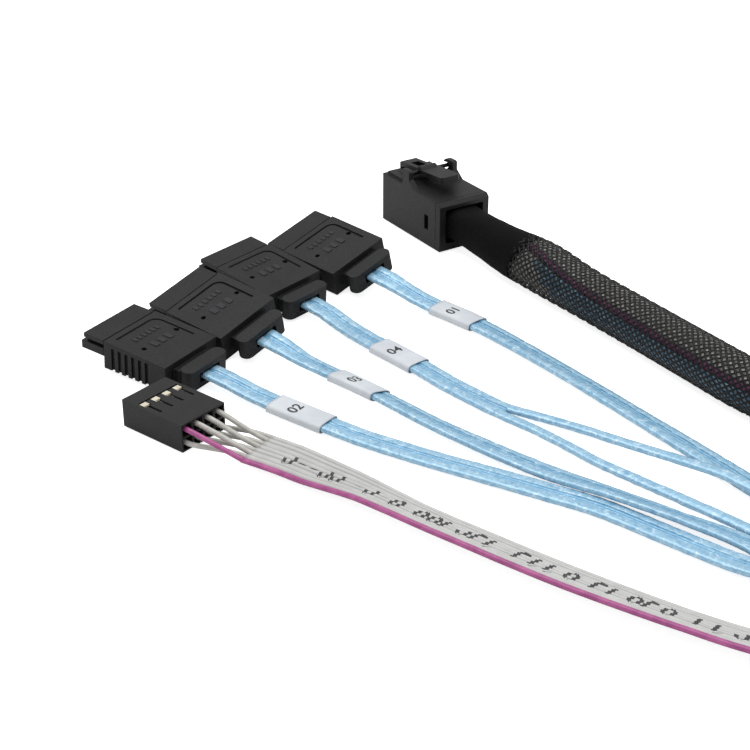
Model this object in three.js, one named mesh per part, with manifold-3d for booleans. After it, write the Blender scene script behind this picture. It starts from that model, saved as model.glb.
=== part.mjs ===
// A breakout cable: one high-density plug, a braided trunk, four flat two-strand legs with SATA plugs
// and a ribbon with a 2 by 4 crimp housing. Millimetres, +Z up. The origin is under the middle of the
// high-density plug, its mating face looks along -Y and the trunk leaves along +Y.
import * as THREE from "three";
import { mergeVertices } from "three/addons/utils/BufferGeometryUtils.js";
import Module from "manifold-3d";

const wasm = await Module();
wasm.setup();

// Clearances
const GAP = 0.3; // between pieces that touch
const RUNNING_GAP = 0.2; // round the latch pin
const EMBED = 0.4; // how far joined forms reach into each other

// High-density plug
const PLUG_WIDTH = 12.6;
const PLUG_LENGTH = 22;
const PLUG_HEIGHT = 10.7;
const PLUG_WALL = 1.2;
const COVER_LENGTH = 1.4;
const COVER_RIM = 1.6;
const COVER_BEVEL = 0.7;
const SIDE_SLOT_WIDTH = 1.4;
const SIDE_SLOT_HEIGHT = 3.2;
const SIDE_SLOT_FROM_REAR = 5.1;
const SIDE_SLOT_BOTTOM = 3.5;
const PLATFORM_HEIGHT = 0.6;
const PLATFORM_INSET = 0.8;
const CHEEK_THICKNESS = 1.3;
const CHEEK_FOOT_FRONT = 0.7; // the foot starts this far in front of the pin
const CHEEK_FOOT_REAR = 4.5; // and ends this far behind it
const CHEEK_TOP_REAR = 2.25;
const CHEEK_SHOULDER = 1.6; // height at which the rear edge starts to slope
const CHEEK_HEIGHT = 3.5;
const HORN_REACH = 1.3; // the cheek's hook, forwards over the pin
const HORN_DROP = 0.75; // how much lower the hook's tip is than the cheek's top

// Latch lever and its pin
const LEVER_WIDTH = 4;
const LEVER_THICKNESS = 1.2;
const LEVER_SETBACK = 0.3; // the head is this far behind the mating face
const LEVER_LENGTH = 16.5;
const LEVER_RISE = 1.4; // the rear end is this much higher than the head
const LEVER_HEAD_CLEARANCE = 0.4; // under the head, where it hangs in front of the platform
const LEVER_HEAD_DEPTH = 1.6;
const LEVER_HEAD_LENGTH = 0.6;
const LEVER_WINDOW_LENGTH = 3.6;
const LEVER_WINDOW_WIDTH = 2;
const LEVER_WINDOW_FROM_FRONT = 2.7;
const PIN_RADIUS = 0.45;
const PIN_BOSS_WALL = 0.5;
const PIN_FROM_FRONT = 8;
const PADDLE_WIDTH = 4.9; // the thumb plate at the lever's rear
const PADDLE_FROM_FRONT = 7.2;
const PADDLE_CORNER = 0.9;

// Paddle cards and the moulded block that holds them
const CARD_THICKNESS = 1;
const CARD_RECESS = 1.6; // from the mating face
const CARD_HEIGHTS = { lower: 3.2, upper: 7.5 };
const BLOCK_LENGTH = 6;

// Trunk
const SLEEVE_DIAMETER = 9.8;
const PLUG_SHRINK_LENGTH = 22;
const SHRINK_NECK_WIDTH = 8.8;
const SHRINK_NECK_HEIGHT = 6.9;
const SHRINK_NECK_LENGTH = 2.9;
const BREAKOUT_DIAMETER = 10.6;
const BREAKOUT_LENGTH = 30;

// Legs
const STRAND_WIDTH = 2.2;
const STRAND_THICKNESS = 1.15;
const STRAND_SPACING = 0.25; // between the two strands of a leg
const LABEL_WALL = 0.2;
const LABEL_CLEARANCE = 0.16;

// SATA plugs
const SATA_WIDTH = 14.4;
const SATA_LENGTH = 14.4;
const SATA_HEIGHT_FRONT = 5.6;
const SATA_HEIGHT_REAR = 5.2;
const NOSE_LENGTH = 5;
const NOSE_HEIGHT = 3.3;
const NOSE_INSET = 0.3;
const NOSE_TENON = 3; // the part of the carrier inside the moulding
const NOSE_LIP = 0.6; // the lower slab stands out this far
const SLOT_WIDTH = 10.4;
const SLOT_HEIGHT = 1.3;
const SLOT_KEY = 1.3; // the short arm of the L-shaped slot
const SLOT_DEPTH = 6;
const SIDE_GROOVE_HEIGHT = 0.8;
const SIDE_GROOVE_DEPTH = 0.9;
const RIB_COUNT = 6;
const RIB_PITCH = 1.58;
const RIB_GROOVE_WIDTH = 0.7;
const RIB_GROOVE_DEPTH = 0.5;
const RIB_FROM_FRONT = 1.8;
const TOP_GROOVE_WIDTH = 0.5;
const TOP_GROOVE_DEPTH = 0.35;
const TOP_GROOVE_MARGIN = 1.9;
const TOP_GROOVE_FROM_FRONT = 1.5;
const TOP_GROOVE_FROM_REAR = 3.7;
const TOP_GROOVE_RADIUS = 1.6;
const DOT_RADIUS = 0.5;
const DOT_MARGIN = 2.7;
const DOT_FROM_REAR = 7.1;
const DOT_DEPTH = 1.2;
const RIB_TOP_MARGIN = 0.6; // the rib grooves stop this far under the rear height
const COLLAR_LENGTH = 4.3;
const COLLAR_WIDTH = 10.9;
const COLLAR_HEIGHT = 4;
const COLLAR_BOTTOM = 0.6;
const COLLAR_RADIUS = 1.3;
const COLLAR_NECK_LENGTH = 1.3;
const COLLAR_NECK_INSET = 0.7;
const COLLAR_RECESS_DEPTH = 1;
const COLLAR_RECESS_CLEARANCE = 0.35;

// Crimp housing, its contacts and wires
const HEADER_PITCH = 2.54;
const HEADER_COLUMNS = 4;
const HEADER_ROWS = 2;
const HEADER_LENGTH = 14.2;
const HEADER_EXTRA = 0.1; // the outside is this much more than the pitches
const CAVITY_SIZE = 2;
const CAVITY_FROM_FRONT = 3;
const PIN_HOLE_SIZE = 0.9;
const WINDOW_LENGTH = 1.5;
const WINDOW_FROM_FRONT = 3.6;
const SLIT_LENGTH = 3.2;
const SLIT_WIDTH = 0.5;
const FRONT_LINE_WIDTH = 0.3;
const FRONT_LINE_DEPTH = 0.25;
const CONTACT_SIZE = 1.4;
const CONTACT_LENGTH = 8.6;
const TONGUE_LENGTH = 1; // of a contact, in the housing's window
const TONGUE_WIDTH = 1.1;
const TONGUE_RECESS = 0.2;
const WIRE_DIAMETER = 1.05;

// Ribbon
const RIBBON_WIRES = 8;
const RIBBON_PITCH = 1.27;
const RIBBON_THICKNESS = 0.9;

// Plug poses: where the rear left bottom corner stands, then turn, tilt and roll in degrees.
// Two plugs lean on their left edges, as stiff flat cable leaves them.
const SATA_POSES = {
  1: { at: [35.25, 17.1], turn: 102.7, tilt: 0.7, roll: 13.9 },
  2: { at: [81.95, 35.05], turn: 113.7, tilt: 3.7, roll: 0.9 },
  3: { at: [67.15, 29.8], turn: 106.9, tilt: 2, roll: 12.7 },
  4: { at: [52.2, 19.0], turn: 104.9, tilt: 4.5, roll: 2.1 },
};
const LABEL_PLACES = {
  1: { start: 16.1, length: 10.4 },
  2: { start: 15.5, length: 11.8 },
  3: { start: 17.8, length: 10.5 },
  4: { start: 21, length: 10.6 },
};
const HEADER_POSE = { at: [92.93, 41.4], turn: 108.2 };

// Cord routes, chosen by hand. Trunk: x, y, z
const TRUNK_ROUTE = [
  [0, 12, 5.3], [0.3, 20, 5.3], [0.5, 28, 5.2], [0.1, 36, 4.95], [-0.3, 44, 4.8], [-0.6, 55, 4.75],
  [-0.7, 68, 4.75], [-0.7, 82, 4.75], [-0.9, 95, 4.75], [-3, 108, 4.75], [-9, 121.5, 4.75],
  [-18, 135, 4.75], [-29, 148.5, 4.75], [-40.5, 162.5, 4.75], [-51, 177, 4.75],
  [-59, 193, 4.75], [-62.5, 210, 4.75], [-60, 226.5, 4.75], [-51.5, 240.5, 4.75],
  [-38.5, 249.5, 4.75], [-23, 252.5, 4.75], [-8, 249.5, 4.75], [5, 241, 4.75],
  [14, 229, 4.8], [18.6, 216, 4.9], [19.5, 203, 5.15], [19.5, 190, 5.15], [19.5, 176, 5.15],
];
// Legs and ribbon: x, y, z, roll in degrees, spacing of the two strands
const PAIR = STRAND_WIDTH + STRAND_SPACING;
const LEG_ROUTES = {
  1: [
    [28.16, 19.55, 4.2, 14, PAIR], [26.9, 24.6, 3.7, 10, PAIR], [24.8, 29.2, 2.1, 4, PAIR],
    [23, 34.2, 1.25, 0, PAIR], [21.5, 40.2, 1.15, -1, PAIR], [20.1, 47, 1, -3, PAIR],
    [19.2, 55.2, 0.9, -6, PAIR], [18.6, 64.8, 0.95, -8, PAIR], [18.1, 75, 0.95, -8, PAIR],
    [17.6, 88, 0.85, -6, PAIR], [17.1, 101, 0.75, -3, PAIR], [16.8, 113.6, 0.7, 0, PAIR],
    [16.9, 128, 0.7, 0, PAIR], [17.1, 143, 1.1, 0, PAIR], [17.2, 155, 2.1, 0, PAIR],
    [17.1, 166, 3.5, 0, PAIR], [17.05, 175.7, 4.55, 0, PAIR],
  ],
  4: [
    [44.28, 21.18, 2.55, 2, PAIR], [43.1, 26.2, 2.1, 2, PAIR], [42.4, 31.2, 1.4, 0, PAIR],
    [41.6, 38, 1.1, 0, PAIR], [40.5, 45.5, 1.1, 0, PAIR], [39.3, 53, 1, 0, PAIR],
    [38.3, 60, 0.7, 0, PAIR], [37.2, 66.5, 0.65, 0, PAIR], [35.9, 73, 0.65, 0, PAIR],
    [33, 80.8, 0.65, 0, 4.4], [30.6, 88.3, 0.65, 0, 6.6], [29.1, 94, 0.7, 1, 7.9],
    [26.5, 102.6, 0.9, 4, 8.8], [24.3, 111.4, 1.4, 8, 9.2], [22.9, 119, 1.5, 8, 8.6],
    [21.2, 131, 1.65, 8, 7.6], [19.6, 145, 2.25, 6, 6], [18.2, 158, 3.9, 3, 3.8],
    [17.3, 167, 5.2, 0, 2.8], [17.05, 175.7, 6.05, 0, PAIR],
  ],
  3: [
    [59.91, 31.8, 3.94, 12.7, PAIR], [58.6, 36.5, 3.4, 5, PAIR], [57.1, 40.7, 2.4, -8, PAIR],
    [55.4, 45.4, 1.85, -18, PAIR], [53.8, 51, 1.75, -24, PAIR], [52.2, 57.5, 1.7, -25, PAIR],
    [50.7, 64, 1.5, -20, PAIR], [49, 71.2, 1.25, -14, PAIR], [46.3, 80.5, 1.05, -10, PAIR],
    [44.2, 87.5, 1, -8, PAIR], [41.7, 94.8, 1, -8, PAIR], [37.6, 105, 1.35, -18, PAIR],
    [33.4, 115.8, 1.4, -20, PAIR], [29.4, 126.2, 1.15, -10, PAIR], [28.2, 135.5, 0.85, -2, PAIR],
    [26.4, 147, 0.8, 0, PAIR], [23.8, 157, 1.9, 0, PAIR], [22.4, 163, 2.95, 0, PAIR],
    [22, 169, 3.85, 0, PAIR], [21.95, 175.7, 4.55, 0, PAIR],
  ],
  2: [
    [73.52, 35.89, 2.45, 0.9, PAIR], [71.7, 40.6, 2, 0, PAIR], [69.9, 45.6, 1.35, 0, PAIR],
    [68.1, 50.6, 1.1, 0, PAIR], [66.1, 56.2, 1.05, 0, PAIR], [64, 61.7, 0.95, 0, PAIR],
    [61.5, 67.4, 0.7, 0, PAIR], [58.6, 73.4, 0.65, 0, PAIR], [55.5, 79.5, 0.65, 0, 2.5],
    [51, 87.7, 0.65, 0, 2.6], [45.8, 97.3, 0.65, 0, 2.6], [41.4, 105.8, 0.65, 0, 2.6],
    [37.6, 117.2, 0.65, 0, 2.5], [34.4, 128.6, 1.1, 0, PAIR], [31.3, 138, 2.25, 0, PAIR],
    [27.8, 148, 2.8, 0, PAIR], [24.6, 158, 3.7, 0, PAIR], [22.3, 167, 5.1, 0, PAIR],
    [21.95, 175.7, 6.05, 0, PAIR],
  ],
};
const RIBBON_ROUTE = [
  [78.2, 61.8, 1, -2, 0], [75.6, 66.8, 0.8, -3, 0], [73.3, 73.8, 1, -6, 0], [71.9, 78.6, 1.4, -10, 0],
  [70.2, 85.4, 2, -17, 0], [68.5, 92, 2.25, -20, 0], [66.4, 98.3, 2.25, -20, 0],
  [64.1, 104.7, 2.25, -20, 0], [61.8, 111.2, 2.25, -20, 0], [58.2, 120.6, 2.25, -20, 0],
  [54.6, 129.3, 2.35, -21, 0], [50.9, 137.4, 2.4, -22, 0], [47, 144.8, 2.4, -21, 0],
  [42, 151, 2.1, -16, 0], [36.4, 156.2, 1.4, -8, 0], [30.6, 160.3, 1, -3, 0],
  [25.2, 163.6, 1.3, 0, 0], [21.5, 167.2, 2.1, 0, 0], [19.9, 170.8, 2.7, 0, 0],
  [19.5, 173.4, 3, 0, 0], [19.5, 175.6, 3.2, 0, 0],
];

const UP = new THREE.Vector3(0, 0, 1);
const TUBE_SIDES = 12;
const STRAND_SIDES = 8;
const STRAND_FULLNESS = 0.8;

// Materials
const plastic = new THREE.MeshStandardMaterial({ color: 0x2b2b2e, roughness: 0.55 });
const coverPlastic = new THREE.MeshStandardMaterial({ color: 0x232325, roughness: 0.6 });
const shrinkFilm = new THREE.MeshStandardMaterial({ color: 0x171718, roughness: 0.75 });
const braid = new THREE.MeshStandardMaterial({ color: 0x1d1e22, roughness: 0.6 });
const blueFilm = new THREE.MeshStandardMaterial({ color: 0xa4cbe6, roughness: 0.3 });
const labelPaper = new THREE.MeshStandardMaterial({ color: 0xdde0e3, roughness: 0.6 });
const ribbonVinyl = new THREE.MeshStandardMaterial({ color: 0xb9b9b6, roughness: 0.45 });
const magentaVinyl = new THREE.MeshStandardMaterial({ color: 0xa8508a, roughness: 0.45 });
const boardGreen = new THREE.MeshStandardMaterial({ color: 0x2f5d3a, roughness: 0.5 });
const gold = new THREE.MeshStandardMaterial({ color: 0xd9c089, roughness: 0.35, metalness: 1 });
const steel = new THREE.MeshStandardMaterial({ color: 0x8d8f92, roughness: 0.3, metalness: 1 });

function solidOf(geometry) {
  const bare = new THREE.BufferGeometry();
  bare.setAttribute("position", geometry.getAttribute("position"));
  if (geometry.index) bare.setIndex(geometry.index);
  const merged = mergeVertices(bare, 1e-4);
  return new wasm.Manifold(
    new wasm.Mesh({
      numProp: 3,
      vertProperties: merged.attributes.position.array,
      triVerts: new Uint32Array(merged.index.array),
    }),
  );
}

function geometryOf(solid) {
  const made = solid.getMesh();
  const geometry = new THREE.BufferGeometry();
  geometry.setAttribute("position", new THREE.BufferAttribute(made.vertProperties, 3));
  geometry.setIndex(new THREE.BufferAttribute(made.triVerts, 1));
  geometry.computeVertexNormals();
  return geometry;
}

// Joins the added forms, then takes the cut ones away
function carve(added, cuts = []) {
  let solid = solidOf(added[0]);
  for (const form of added.slice(1)) solid = solid.add(solidOf(form));
  for (const form of cuts) solid = solid.subtract(solidOf(form));
  return geometryOf(solid);
}

// A block between two corners
function block(low, high) {
  const size = high.map((value, axis) => value - low[axis]);
  const geometry = new THREE.BoxGeometry(...size);
  return geometry.translate(...low.map((value, axis) => value + size[axis] / 2));
}

function outline(points) {
  return new THREE.Shape(points.map(([a, b]) => new THREE.Vector2(a, b)));
}

// An outline in Y and Z, drawn out along X
function alongX(shape, from, to) {
  const geometry = new THREE.ExtrudeGeometry(shape, { depth: to - from, bevelEnabled: false });
  const turn = new THREE.Matrix4().set(0, 0, 1, from, 1, 0, 0, 0, 0, 1, 0, 0, 0, 0, 0, 1);
  return geometry.applyMatrix4(turn);
}

// An outline in X and Z, drawn out along Y
function alongY(shape, from, to) {
  const geometry = new THREE.ExtrudeGeometry(shape, { depth: to - from, bevelEnabled: false });
  return geometry.rotateX(Math.PI / 2).translate(0, to, 0);
}

// A rectangle with round corners
function roundedRectangle(low, high, radius, segments = 3) {
  const points = [];
  const corners = [
    [high[0] - radius, high[1] - radius, 0],
    [low[0] + radius, high[1] - radius, 1],
    [low[0] + radius, low[1] + radius, 2],
    [high[0] - radius, low[1] + radius, 3],
  ];
  for (const [x, y, quarter] of corners) {
    for (let i = 0; i <= segments; i++) {
      const angle = ((quarter + i / segments) * Math.PI) / 2;
      points.push([x + radius * Math.cos(angle), y + radius * Math.sin(angle)]);
    }
  }
  return outline(points);
}

// An ellipse, or with a power under 1 a fuller, boxier oval
function ellipse(width, height, sides, power = 1) {
  const full = (value) => Math.sign(value) * Math.abs(value) ** power;
  const points = [];
  for (let i = 0; i < sides; i++) {
    const angle = ((i + 0.5) / sides) * 2 * Math.PI;
    const [a, b] = [full(Math.cos(angle)), full(Math.sin(angle))];
    points.push(new THREE.Vector2((a * width) / 2, (b * height) / 2));
  }
  return points;
}

// The line of a cord, with a roll and a sideways spread that change along it
class CordRoute extends THREE.Curve {
  constructor(rows, { side = 0, start = 0, end = Infinity } = {}) {
    super();
    this.rows = rows;
    this.side = side;
    this.line = new THREE.CatmullRomCurve3(rows.map(([x, y, z]) => new THREE.Vector3(x, y, z)));
    this.first = this.line.getUtoTmapping(0, start);
    this.last = this.line.getUtoTmapping(0, Math.min(end, this.line.getLength()));
  }

  value(t, column) {
    const place = Math.min(Math.max(t, 0), 1) * (this.rows.length - 1);
    const row = Math.min(Math.floor(place), this.rows.length - 2);
    const before = this.rows[row][column] ?? 0;
    const after = this.rows[row + 1][column] ?? 0;
    return THREE.MathUtils.lerp(before, after, place - row);
  }

  frame(t) {
    const tangent = this.line.getTangent(t);
    const left = new THREE.Vector3().crossVectors(UP, tangent).normalize();
    left.applyAxisAngle(tangent, THREE.MathUtils.degToRad(this.value(t, 3)));
    const over = new THREE.Vector3().crossVectors(tangent, left);
    return { tangent, left, over };
  }

  along(t) {
    return THREE.MathUtils.lerp(this.first, this.last, t);
  }

  getPoint(t, target = new THREE.Vector3()) {
    const place = this.along(t);
    const offset = (this.side * this.value(place, 4)) / 2;
    return target.copy(this.line.getPoint(place)).addScaledVector(this.frame(place).left, offset);
  }

  computeFrenetFrames(segments) {
    const frames = { tangents: [], normals: [], binormals: [] };
    for (let i = 0; i <= segments; i++) {
      const { tangent, left, over } = this.frame(this.along(this.getUtoTmapping(i / segments)));
      frames.tangents.push(tangent);
      frames.normals.push(left);
      frames.binormals.push(over);
    }
    return frames;
  }
}

// A closed tube of the section along the route
function tube(section, route, step, hole = null) {
  const shape = new THREE.Shape(section);
  if (hole) shape.holes.push(new THREE.Path(hole));
  const steps = Math.max(2, Math.round(route.getLength() / step));
  return new THREE.ExtrudeGeometry(shape, { steps, bevelEnabled: false, extrudePath: route });
}

function piece(name, geometry, material) {
  const mesh = new THREE.Mesh(geometry, material);
  mesh.name = name;
  return mesh;
}

// Where the latch pin lies, and how large its bore and the boss round it are
function pinPlace() {
  const bore = PIN_RADIUS + RUNNING_GAP;
  const boss = bore + PIN_BOSS_WALL;
  const y = -PLUG_LENGTH / 2 + PIN_FROM_FRONT;
  return { y, z: PLUG_HEIGHT + PLATFORM_HEIGHT + GAP + boss, bore, boss };
}

// One cheek from the side: a post whose hook opens forwards and holds the latch pin
function cheekOutline() {
  const pin = pinPlace();
  const foot = PLUG_HEIGHT - EMBED;
  const top = PLUG_HEIGHT + CHEEK_HEIGHT;
  const tip = top - HORN_DROP;
  const notch = [-70, -35, 0, 35, 70, 95].map((degrees) => {
    const angle = THREE.MathUtils.degToRad(degrees);
    return [pin.y + pin.bore * Math.cos(angle), pin.z + pin.bore * Math.sin(angle)];
  });
  return outline([
    [pin.y - CHEEK_FOOT_FRONT, foot],
    [pin.y + CHEEK_FOOT_REAR, foot],
    [pin.y + CHEEK_FOOT_REAR, PLUG_HEIGHT],
    [pin.y + CHEEK_TOP_REAR, PLUG_HEIGHT + CHEEK_SHOULDER],
    [pin.y + CHEEK_TOP_REAR, top - 0.3],
    [pin.y + CHEEK_TOP_REAR - 0.3, top],
    [pin.y + 0.3, top],
    [pin.y - HORN_REACH * 0.5, top - HORN_DROP * 0.25],
    [pin.y - HORN_REACH, tip],
    [pin.y - HORN_REACH * 0.9, tip - 0.2],
    ...notch.reverse(),
    [pin.y - CHEEK_FOOT_FRONT, PLUG_HEIGHT],
  ]);
}

// High-density plug: shell, rear cover, cards and the moulded block behind them
function makePlug(group) {
  const halfWidth = PLUG_WIDTH / 2;
  const front = -PLUG_LENGTH / 2;
  const rear = PLUG_LENGTH / 2;
  const shellRear = rear - COVER_LENGTH - GAP;
  const innerHalf = halfWidth - PLUG_WALL;
  const innerTop = PLUG_HEIGHT - PLUG_WALL;
  const foot = PLUG_HEIGHT - EMBED;
  const cheek = cheekOutline();
  const slotRear = rear - SIDE_SLOT_FROM_REAR + SIDE_SLOT_WIDTH / 2;
  const slot = block(
    [-halfWidth - 1, slotRear - SIDE_SLOT_WIDTH, SIDE_SLOT_BOTTOM],
    [halfWidth + 1, slotRear, SIDE_SLOT_BOTTOM + SIDE_SLOT_HEIGHT],
  );
  const shell = carve(
    [
      block([-halfWidth, front, 0], [halfWidth, shellRear, PLUG_HEIGHT]),
      block(
        [-halfWidth + PLATFORM_INSET, front + PLATFORM_INSET, foot],
        [halfWidth - PLATFORM_INSET, pinPlace().y - CHEEK_FOOT_FRONT, PLUG_HEIGHT + PLATFORM_HEIGHT],
      ),
      alongX(cheek, halfWidth - CHEEK_THICKNESS, halfWidth),
      alongX(cheek, -halfWidth, -halfWidth + CHEEK_THICKNESS),
    ],
    [block([-innerHalf, front - 1, PLUG_WALL], [innerHalf, shellRear + 1, innerTop]), slot],
  );
  group.add(piece("plug_housing", shell, plastic));

  const coverSide = outline([
    [rear - COVER_LENGTH, 0],
    [rear, 0],
    [rear, PLUG_HEIGHT - COVER_BEVEL],
    [rear - COVER_BEVEL, PLUG_HEIGHT],
    [rear - COVER_LENGTH, PLUG_HEIGHT],
  ]);
  const opening = block(
    [-halfWidth + COVER_RIM, rear - COVER_LENGTH - 1, COVER_RIM],
    [halfWidth - COVER_RIM, rear + 1, PLUG_HEIGHT - COVER_RIM],
  );
  const cover = carve([alongX(coverSide, -halfWidth, halfWidth)], [opening]);
  group.add(piece("plug_rear_cover", cover, coverPlastic));

  const cardHalf = innerHalf - GAP;
  const cardFront = front + CARD_RECESS;
  const blockFront = shellRear - BLOCK_LENGTH;
  for (const [name, middle] of Object.entries(CARD_HEIGHTS)) {
    const card = block(
      [-cardHalf, cardFront, middle - CARD_THICKNESS / 2],
      [cardHalf, blockFront - GAP, middle + CARD_THICKNESS / 2],
    );
    group.add(piece(`paddle_card_${name}`, card, boardGreen));
  }
  const wireBlock = block(
    [-innerHalf + GAP, blockFront, PLUG_WALL + GAP],
    [innerHalf - GAP, shellRear, innerTop - GAP],
  );
  group.add(piece("wire_block", wireBlock, shrinkFilm));
  return shellRear;
}

// Latch lever with its head, window, pin boss and thumb plate, and the pin it turns on
function makeLatch(group) {
  const front = -PLUG_LENGTH / 2 + LEVER_SETBACK;
  const headBottom = PLUG_HEIGHT + LEVER_HEAD_CLEARANCE;
  const headTop = headBottom + LEVER_HEAD_DEPTH;
  const slope = LEVER_RISE / LEVER_LENGTH;
  const topAt = (y) => headTop + slope * (y - front);
  const half = LEVER_WIDTH / 2;
  const pin = pinPlace();
  const plateFront = front + LEVER_HEAD_LENGTH;
  const plateRear = front + PADDLE_FROM_FRONT + 2 * PADDLE_CORNER;
  const side = outline([
    [front, headBottom],
    [plateFront - GAP, headBottom],
    [plateFront, topAt(plateFront) - LEVER_THICKNESS],
    [plateRear, topAt(plateRear) - LEVER_THICKNESS],
    [plateRear, topAt(plateRear)],
    [front + 0.3, topAt(front)],
    [front, topAt(front) - 0.3],
  ]);
  const plan = roundedRectangle(
    [-PADDLE_WIDTH / 2, PADDLE_FROM_FRONT],
    [PADDLE_WIDTH / 2, LEVER_LENGTH],
    PADDLE_CORNER,
  );
  const paddle = new THREE.ExtrudeGeometry(plan, { depth: LEVER_THICKNESS, bevelEnabled: false });
  paddle.translate(0, 0, -LEVER_THICKNESS).rotateX(Math.atan(slope)).translate(0, front, headTop);
  const windowFront = front + LEVER_WINDOW_FROM_FRONT;
  const ring = new THREE.CylinderGeometry(pin.boss, pin.boss, LEVER_WIDTH, 16).rotateZ(Math.PI / 2);
  const hole = new THREE.CylinderGeometry(pin.bore, pin.bore, 2 * LEVER_WIDTH, 16).rotateZ(Math.PI / 2);
  const lever = carve(
    [alongX(side, -half, half), paddle, ring.translate(0, pin.y, pin.z)],
    [
      block(
        [-LEVER_WINDOW_WIDTH / 2, windowFront, PLUG_HEIGHT],
        [LEVER_WINDOW_WIDTH / 2, windowFront + LEVER_WINDOW_LENGTH, 2 * headTop - PLUG_HEIGHT],
      ),
      hole.translate(0, pin.y, pin.z),
    ],
  );
  group.add(piece("latch_lever", lever, plastic));
  const pinLength = PLUG_WIDTH - 2 * GAP;
  const rod = new THREE.CylinderGeometry(PIN_RADIUS, PIN_RADIUS, pinLength, 12);
  group.add(piece("latch_pin", rod.rotateZ(Math.PI / 2).translate(0, pin.y, pin.z), steel));
}

// Trunk: heat-shrink behind the plug, braided sleeve, heat-shrink where the legs come out
function makeTrunk(group, shellRear) {
  const whole = new CordRoute(TRUNK_ROUTE).getLength();
  const round = ellipse(SLEEVE_DIAMETER, SLEEVE_DIAMETER, TUBE_SIDES);
  const shrinkRoute = new CordRoute(TRUNK_ROUTE, { end: PLUG_SHRINK_LENGTH });
  const middle = PLUG_HEIGHT / 2;
  const neckStart = shellRear + GAP;
  const neck = alongY(
    roundedRectangle(
      [-SHRINK_NECK_WIDTH / 2, middle - SHRINK_NECK_HEIGHT / 2],
      [SHRINK_NECK_WIDTH / 2, middle + SHRINK_NECK_HEIGHT / 2],
      1.6,
    ),
    neckStart,
    TRUNK_ROUTE[0][1] + EMBED,
  );
  const shrink = carve([neck, tube(round, shrinkRoute, 4)]);
  group.add(piece("plug_heat_shrink", shrink, shrinkFilm));
  const sleeveEnd = whole - BREAKOUT_LENGTH - GAP;
  const sleeve = new CordRoute(TRUNK_ROUTE, { start: PLUG_SHRINK_LENGTH + GAP, end: sleeveEnd });
  group.add(piece("braided_sleeve", tube(round, sleeve, 8), braid));
  const outer = ellipse(BREAKOUT_DIAMETER, BREAKOUT_DIAMETER, TUBE_SIDES);
  const breakout = new CordRoute(TRUNK_ROUTE, { start: whole - BREAKOUT_LENGTH });
  group.add(piece("breakout_heat_shrink", tube(outer, breakout, 10), shrinkFilm));
}

// One leg: two flat strands and the label wrapped round them
function makeLeg(group, number) {
  const rows = LEG_ROUTES[number];
  const section = ellipse(STRAND_WIDTH, STRAND_THICKNESS, STRAND_SIDES, STRAND_FULLNESS);
  for (const [letter, side] of [["a", 1], ["b", -1]]) {
    const route = new CordRoute(rows, { side });
    group.add(piece(`leg_${number}_strand_${letter}`, tube(section, route, 5), blueFilm));
  }
  const { start, length } = LABEL_PLACES[number];
  const inside = [PAIR + STRAND_WIDTH, STRAND_THICKNESS].map((size) => size + 2 * LABEL_CLEARANCE);
  const oval = ([width, height], grow) => {
    const half = [(width + grow) / 2, (height + grow) / 2];
    return roundedRectangle([-half[0], -half[1]], half, half[1] * 0.8, 2).getPoints();
  };
  const route = new CordRoute(rows, { start, end: start + length });
  const label = tube(oval(inside, 2 * LABEL_WALL), route, 2.4, oval(inside, 0));
  group.add(piece(`label_${number}`, label, labelPaper));
}

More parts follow.
